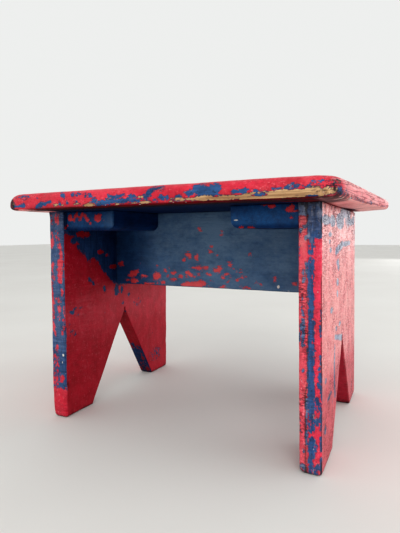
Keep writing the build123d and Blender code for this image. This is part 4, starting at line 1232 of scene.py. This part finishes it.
def build_cleat(side, rear, name, node):
    lo, hi = box_mm(node)
    z0 = float(lo[2])
    y0, y1 = float(lo[1]), float(hi[1])
    edge_x = INNER - 61.3

    def planes(p):
        x = (p[:, 0] - MID) * side
        y, z = p[:, 1], p[:, 2]
        return edge_x - x, x - (INNER + LEAN * (SEAT - z)), y0 - y, y - y1, z0 - z, z - SEAT

    free_low = not rear       # the end that can be seen

    def depth(p):
        a, b, c, d, e, f = planes(p)
        wear = 0.5 * fbm(p, 16, 2, 81 + side) + 0.4 * np.maximum(fbm(p, 7, 2, 83), 0)
        prof = rmax(a, e, np.clip(8.0 + 0.5 * wear, 7, 9))
        prof = rmax(prof, f, np.full(len(p), 0.8))
        prof = np.maximum(prof, b)
        free = c if free_low else d
        other = d if free_low else c
        out = rmax(prof, free, np.clip(1.3 + 0.5 * wear, 0.6, 2.2))
        return np.maximum(out, other)

    if side > 0:
        box_lo, box_hi = (MID + edge_x, y0, z0), (MID + INNER + LEAN * (SEAT - z0), y1, SEAT)
    else:
        box_lo, box_hi = (MID - INNER - LEAN * (SEAT - z0), y0, z0), (MID - edge_x, y1, SEAT)

    def skew(p):
        out = p.copy()
        x = (p[..., 0] - MID) * side
        t = (x - edge_x) / (INNER + LEAN * (SEAT - z0) - edge_x)
        out[..., 0] = MID + side * (edge_x + t * (INNER + LEAN * (SEAT - p[..., 2]) - edge_x))
        return out

    pts, quads, uv = box_shell(box_lo, box_hi, (1.0, 1.1, 0.95), "top", skew)
    p, n = settle(pts, depth)
    a, b, c, d, e, f = planes(p)
    x, y, z = p[:, 0], p[:, 1], p[:, 2]
    free = c if free_low else d
    rim = np.maximum(-second_largest([np.maximum(a, -50), free, e]), 0)
    mid = fbm(p, 7, 3, 85 + side, (1, 1.6, 1))
    big = fbm(p, 20, 3, 87 + side + 3 * rear, (1, 1.6, 1))
    blue = 2.2 - 2.0 * np.maximum(big + 0.4 * mid - 0.55, 0) * 3
    if not rear and side > 0:
        reds = ellipses(x, z, [
            (97.5, 224.4, 3.2, 1.8), (92, 225.8, 4, 0.9), (113, 221, 3.8, 2.5), (114.5, 223.3, 2.2, 1.7), (118.5, 220, 2.0, 1.0), (114.4, 214, 0.9, 0.9),
            (70.5, 206.6, 2.6, 1.2), (79, 206.4, 3.0, 1.2),
        ])
        blue = np.where(free > -2.0, np.minimum(-reds, 3), np.maximum(blue, 1.5))
    elif not rear:
        reds = np.maximum(
            ellipses(x, z, [(-124, 219.5, 3.2, 3.8), (-86.8, 218.5, 4.6, 4.6), (-84.5, 221, 2.6, 1.6), (-97, 213, 2, 1.2), (-130, 211, 3, 1.6), (-79, 216, 1, 1)]),
            strokes(x, z, [(-119, 217.5, -114.5, 224, 1.8), (-115, 223.5, -110.5, 217.5, 1.6), (-110.5, 217.5, -107.5, 223.5, 1.6), (-104, 221, -100.5, 216.5, 1.9)]),
        )
        blue = np.where(free > -2.0, np.minimum(-reds, 3), np.maximum(blue, 1.0))
    wood = -5.5 + 1.4 * mid + 1.0 * np.exp(-rim / 1.0)
    glint = ellipses(x, z, [(65.5, 213.2, 2.4, 0.75)]) if (not rear and side > 0) else np.full(len(p), -9.0)
    nail = np.full(len(p), 30.0)
    nx = MID + side * (INNER - 27)
    for ny in (-86, -36, 30, 84):
        nail = np.minimum(nail, np.hypot(x - nx, y - ny))
    nail = np.where(e > -1.0, nail + 0.4, 30.0)
    # dust, and a painted sheen along the front left cleat's rounded inner end
    dust_and_sheen = 0.05 + 0.08 * big + 0.55 * np.exp(-(((-a - 3) / 7.0) ** 2)) * (free > -2) * (side < 0) * (not rear)
    grime_and_shade = 0.04 + 0.10 * big + 0.35 * smooth(SEAT - 2.5, SEAT, z) + 0.12 * (e > -1)
    # painted shade: darker up under the top and at the lower edge, more on the rear and left cleats, the hidden faces
    # dark
    painted_shade = np.where(free > -2, 0.05 + 0.50 * smooth(SEAT - 12, SEAT, z) + 0.75 * smooth(z0 + 5.5, z0 + 1, z), 0.72)
    if rear or side < 0:
        painted_shade = painted_shade + 0.12
    chalk = np.where(free > -2, glint - 0.1, -4.0)
    push = 0.12 * fbm(p, 30, 2, 91 + side) + 0.05 * fbm(p, 8, 2, 93)
    push = push - np.maximum(push, 0) * 0.8
    other = d if free_low else c
    push = push * smooth(0, 2, -b) * smooth(0, 2, -other)
    if not rear and side > 0:
        push = push + np.where(free > -2, -0.5 * np.exp(-(((x - 65.5) / 2.4) ** 2 + ((z - 214.2) / 0.9) ** 2)), 0)
    return make_mesh(name, bumps(p, n, push), quads, uv, dict(
        blue=np.clip(blue, -6, 6), wood=np.clip(wood, -6, 6), grime_and_shade=np.clip(grime_and_shade, 0, 1.2), dust_and_sheen=np.clip(dust_and_sheen, 0, 1), nail=nail,
        painted_shade=np.clip(painted_shade, 0, 1), chalk=np.clip(chalk, -4, 4), craze=np.zeros(len(p))))


# ---------------------------------------------------------------------------
# Make the pieces
# ---------------------------------------------------------------------------
top_paint = paint("top_paint", "x", red=(220, 34, 64), blue=(26, 84, 142), red_rough=0.36, crack=0.22, ripple=(90, 200, 0.25),
                  streaky=0.7, ragged=1.3, fleck=1.1, ends=(60, 15, 340))
# its pale pink and whitish blue dust colours stand mostly for painted sheen on the outer face
right_leg_paint = paint("right_end_board_paint", "z", red=(240, 38, 80), blue=(18, 78, 142), crack=0.72, ripple=(110, 430, 0.8), lengthwise=0.2,
                        streaky=0.35, red_rough=0.27, blue_rough=0.42, ragged=0.9, dust_sheen_blue=(204, 206, 218), dust_sheen_red=(252, 172, 166), sheen=0.5, fleck=1.25)
left_leg_paint = paint("left_end_board_paint", "z", red=(213, 24, 55), crack=0.35, lengthwise=0.4, ripple=(30, 330, 0.35), red_rough=0.40, soft=0.42,
                       blue=(26, 78, 132), fleck=0.8, streaky=0.3, ragged=1.5, sheen=0.25, dust_sheen_blue=(112, 130, 160), dust_sheen_red=(232, 120, 134))
stretcher_paint = paint("stretcher_paint", "x", red=(238, 70, 88), blue=(26, 82, 134), crack=0.0, ripple=(120, 160, 0.3), soft=0.75,
                        scrubbed=0.4, rimmed=0.25,
                        blue_rough=0.62, ragged=1.3, dust_sheen_blue=(118, 148, 176), dust_sheen_red=(230, 100, 106), sheen=0.25, fleck=0.7)
cleat_paint = paint("cleat_paint", "y", red=(226, 48, 70), blue=(0, 76, 140), crack=0.0, ripple=(90, 150, 0.2), blue_rough=0.36, ragged=0.95,
                    sheen=0.3, fleck=0.25, scrubbed=0.6)

made = [
    (build_top(), top_paint, "top_board", "top_paint"),
    (build_leg(-1), left_leg_paint, "left_end_board", "end_board_paint"),
    (build_leg(1), right_leg_paint, "right_end_board", "end_board_paint"),
    (build_stretcher(), stretcher_paint, "stretcher", "stretcher_paint"),
]
for side, rear, name in ((-1, False, "front_left_cleat"), (1, False, "front_right_cleat"), (-1, True, "rear_left_cleat"), (1, True, "rear_right_cleat")):
    made.append((build_cleat(side, rear, "worn_" + name, name), cleat_paint, name, "cleat_paint"))
for ob, mat, node, slot in made:
    ob.data.materials.append(mat)
    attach(ob, "root")
    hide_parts(node)

nail_steel = steel("nail_steel")
for node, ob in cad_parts.items():
    if "nails" in node:
        ob.data.materials.clear()
        ob.data.materials.append(nail_steel)

# ---------------------------------------------------------------------------
# Floor, light and camera
# ---------------------------------------------------------------------------
floor_mesh = bpy.data.meshes.new("floor")
floor_mesh.from_pydata([(-8, -8, 0), (8, -8, 0), (8, 8, 0), (-8, 8, 0)], [], [(0, 1, 2, 3)])
floor = bpy.data.objects.new("floor", floor_mesh)
scene.collection.objects.link(floor)
fm = Nodes("floor_pale")
fc = fm.mix(fm.ramp(fm.noise(3, 4.0, 0.5), -1, 1), (0.72, 0.705, 0.68), (0.76, 0.75, 0.725))
floor_mesh.materials.append(fm.finish(fc, 0.75, None, 0.3))

world = bpy.data.worlds.new("studio")
world.use_nodes = True
bg = world.node_tree.nodes["Background"]
bg.inputs[0].default_value = (0.90, 0.91, 0.90, 1)
bg.inputs[1].default_value = 0.80
scene.world = world


def area(name, at, look, size, power, colour=(1, 1, 1)):
    data = bpy.data.lights.new(name, "AREA")
    data.shape = "RECTANGLE"
    data.size, data.size_y = size
    data.energy = power
    data.color = colour
    ob = bpy.data.objects.new(name, data)
    scene.collection.objects.link(ob)
    at, look = np.array(at, float), np.array(look, float)
    z = (at - look) / np.linalg.norm(at - look)
    x = np.cross((0, 0, 1), z)
    x = x / np.linalg.norm(x)
    y = np.cross(z, x)
    ob.matrix_world = Matrix([(*[x[i], y[i], z[i]], at[i]) for i in range(3)] + [(0, 0, 0, 1)])
    return ob


area("window", (0.75, -1.8, 1.3), (0, 0, 0.15), (1.6, 1.2), 13, (1.0, 0.99, 0.97))
area("side_window", (1.9, 0.5, 0.7), (0, 0, 0.15), (1.6, 1.1), 10, (0.96, 0.98, 1.0))
glow = area("far_window", (0.95, 3.0, 0.75), (0.1, 0, 0.15), (2.0, 1.3), 8, (1.0, 1.0, 1.0))
glow.visible_camera = False

yaw, pitch, roll = 0.456, -0.072, -0.007
fwd = np.array([-math.sin(yaw) * math.cos(pitch), math.cos(yaw) * math.cos(pitch), math.sin(pitch)])
right0 = np.array([math.cos(yaw), math.sin(yaw), 0.0])
up0 = np.cross(right0, fwd)
right = math.cos(roll) * right0 + math.sin(roll) * up0
up = -math.sin(roll) * right0 + math.cos(roll) * up0
cam_data = bpy.data.cameras.new("camera")
cam_data.sensor_fit = "AUTO"
cam_data.sensor_width = 36.0
cam_data.lens = 435.2 / 533.0 * 36.0
cam_data.clip_start, cam_data.clip_end = 0.01, 50.0
cam = bpy.data.objects.new("camera", cam_data)
scene.collection.objects.link(cam)
eye = EYE / 1000.0
cam.matrix_world = Matrix([(right[i], up[i], -fwd[i], eye[i]) for i in range(3)] + [(0, 0, 0, 1)])
scene.camera = cam
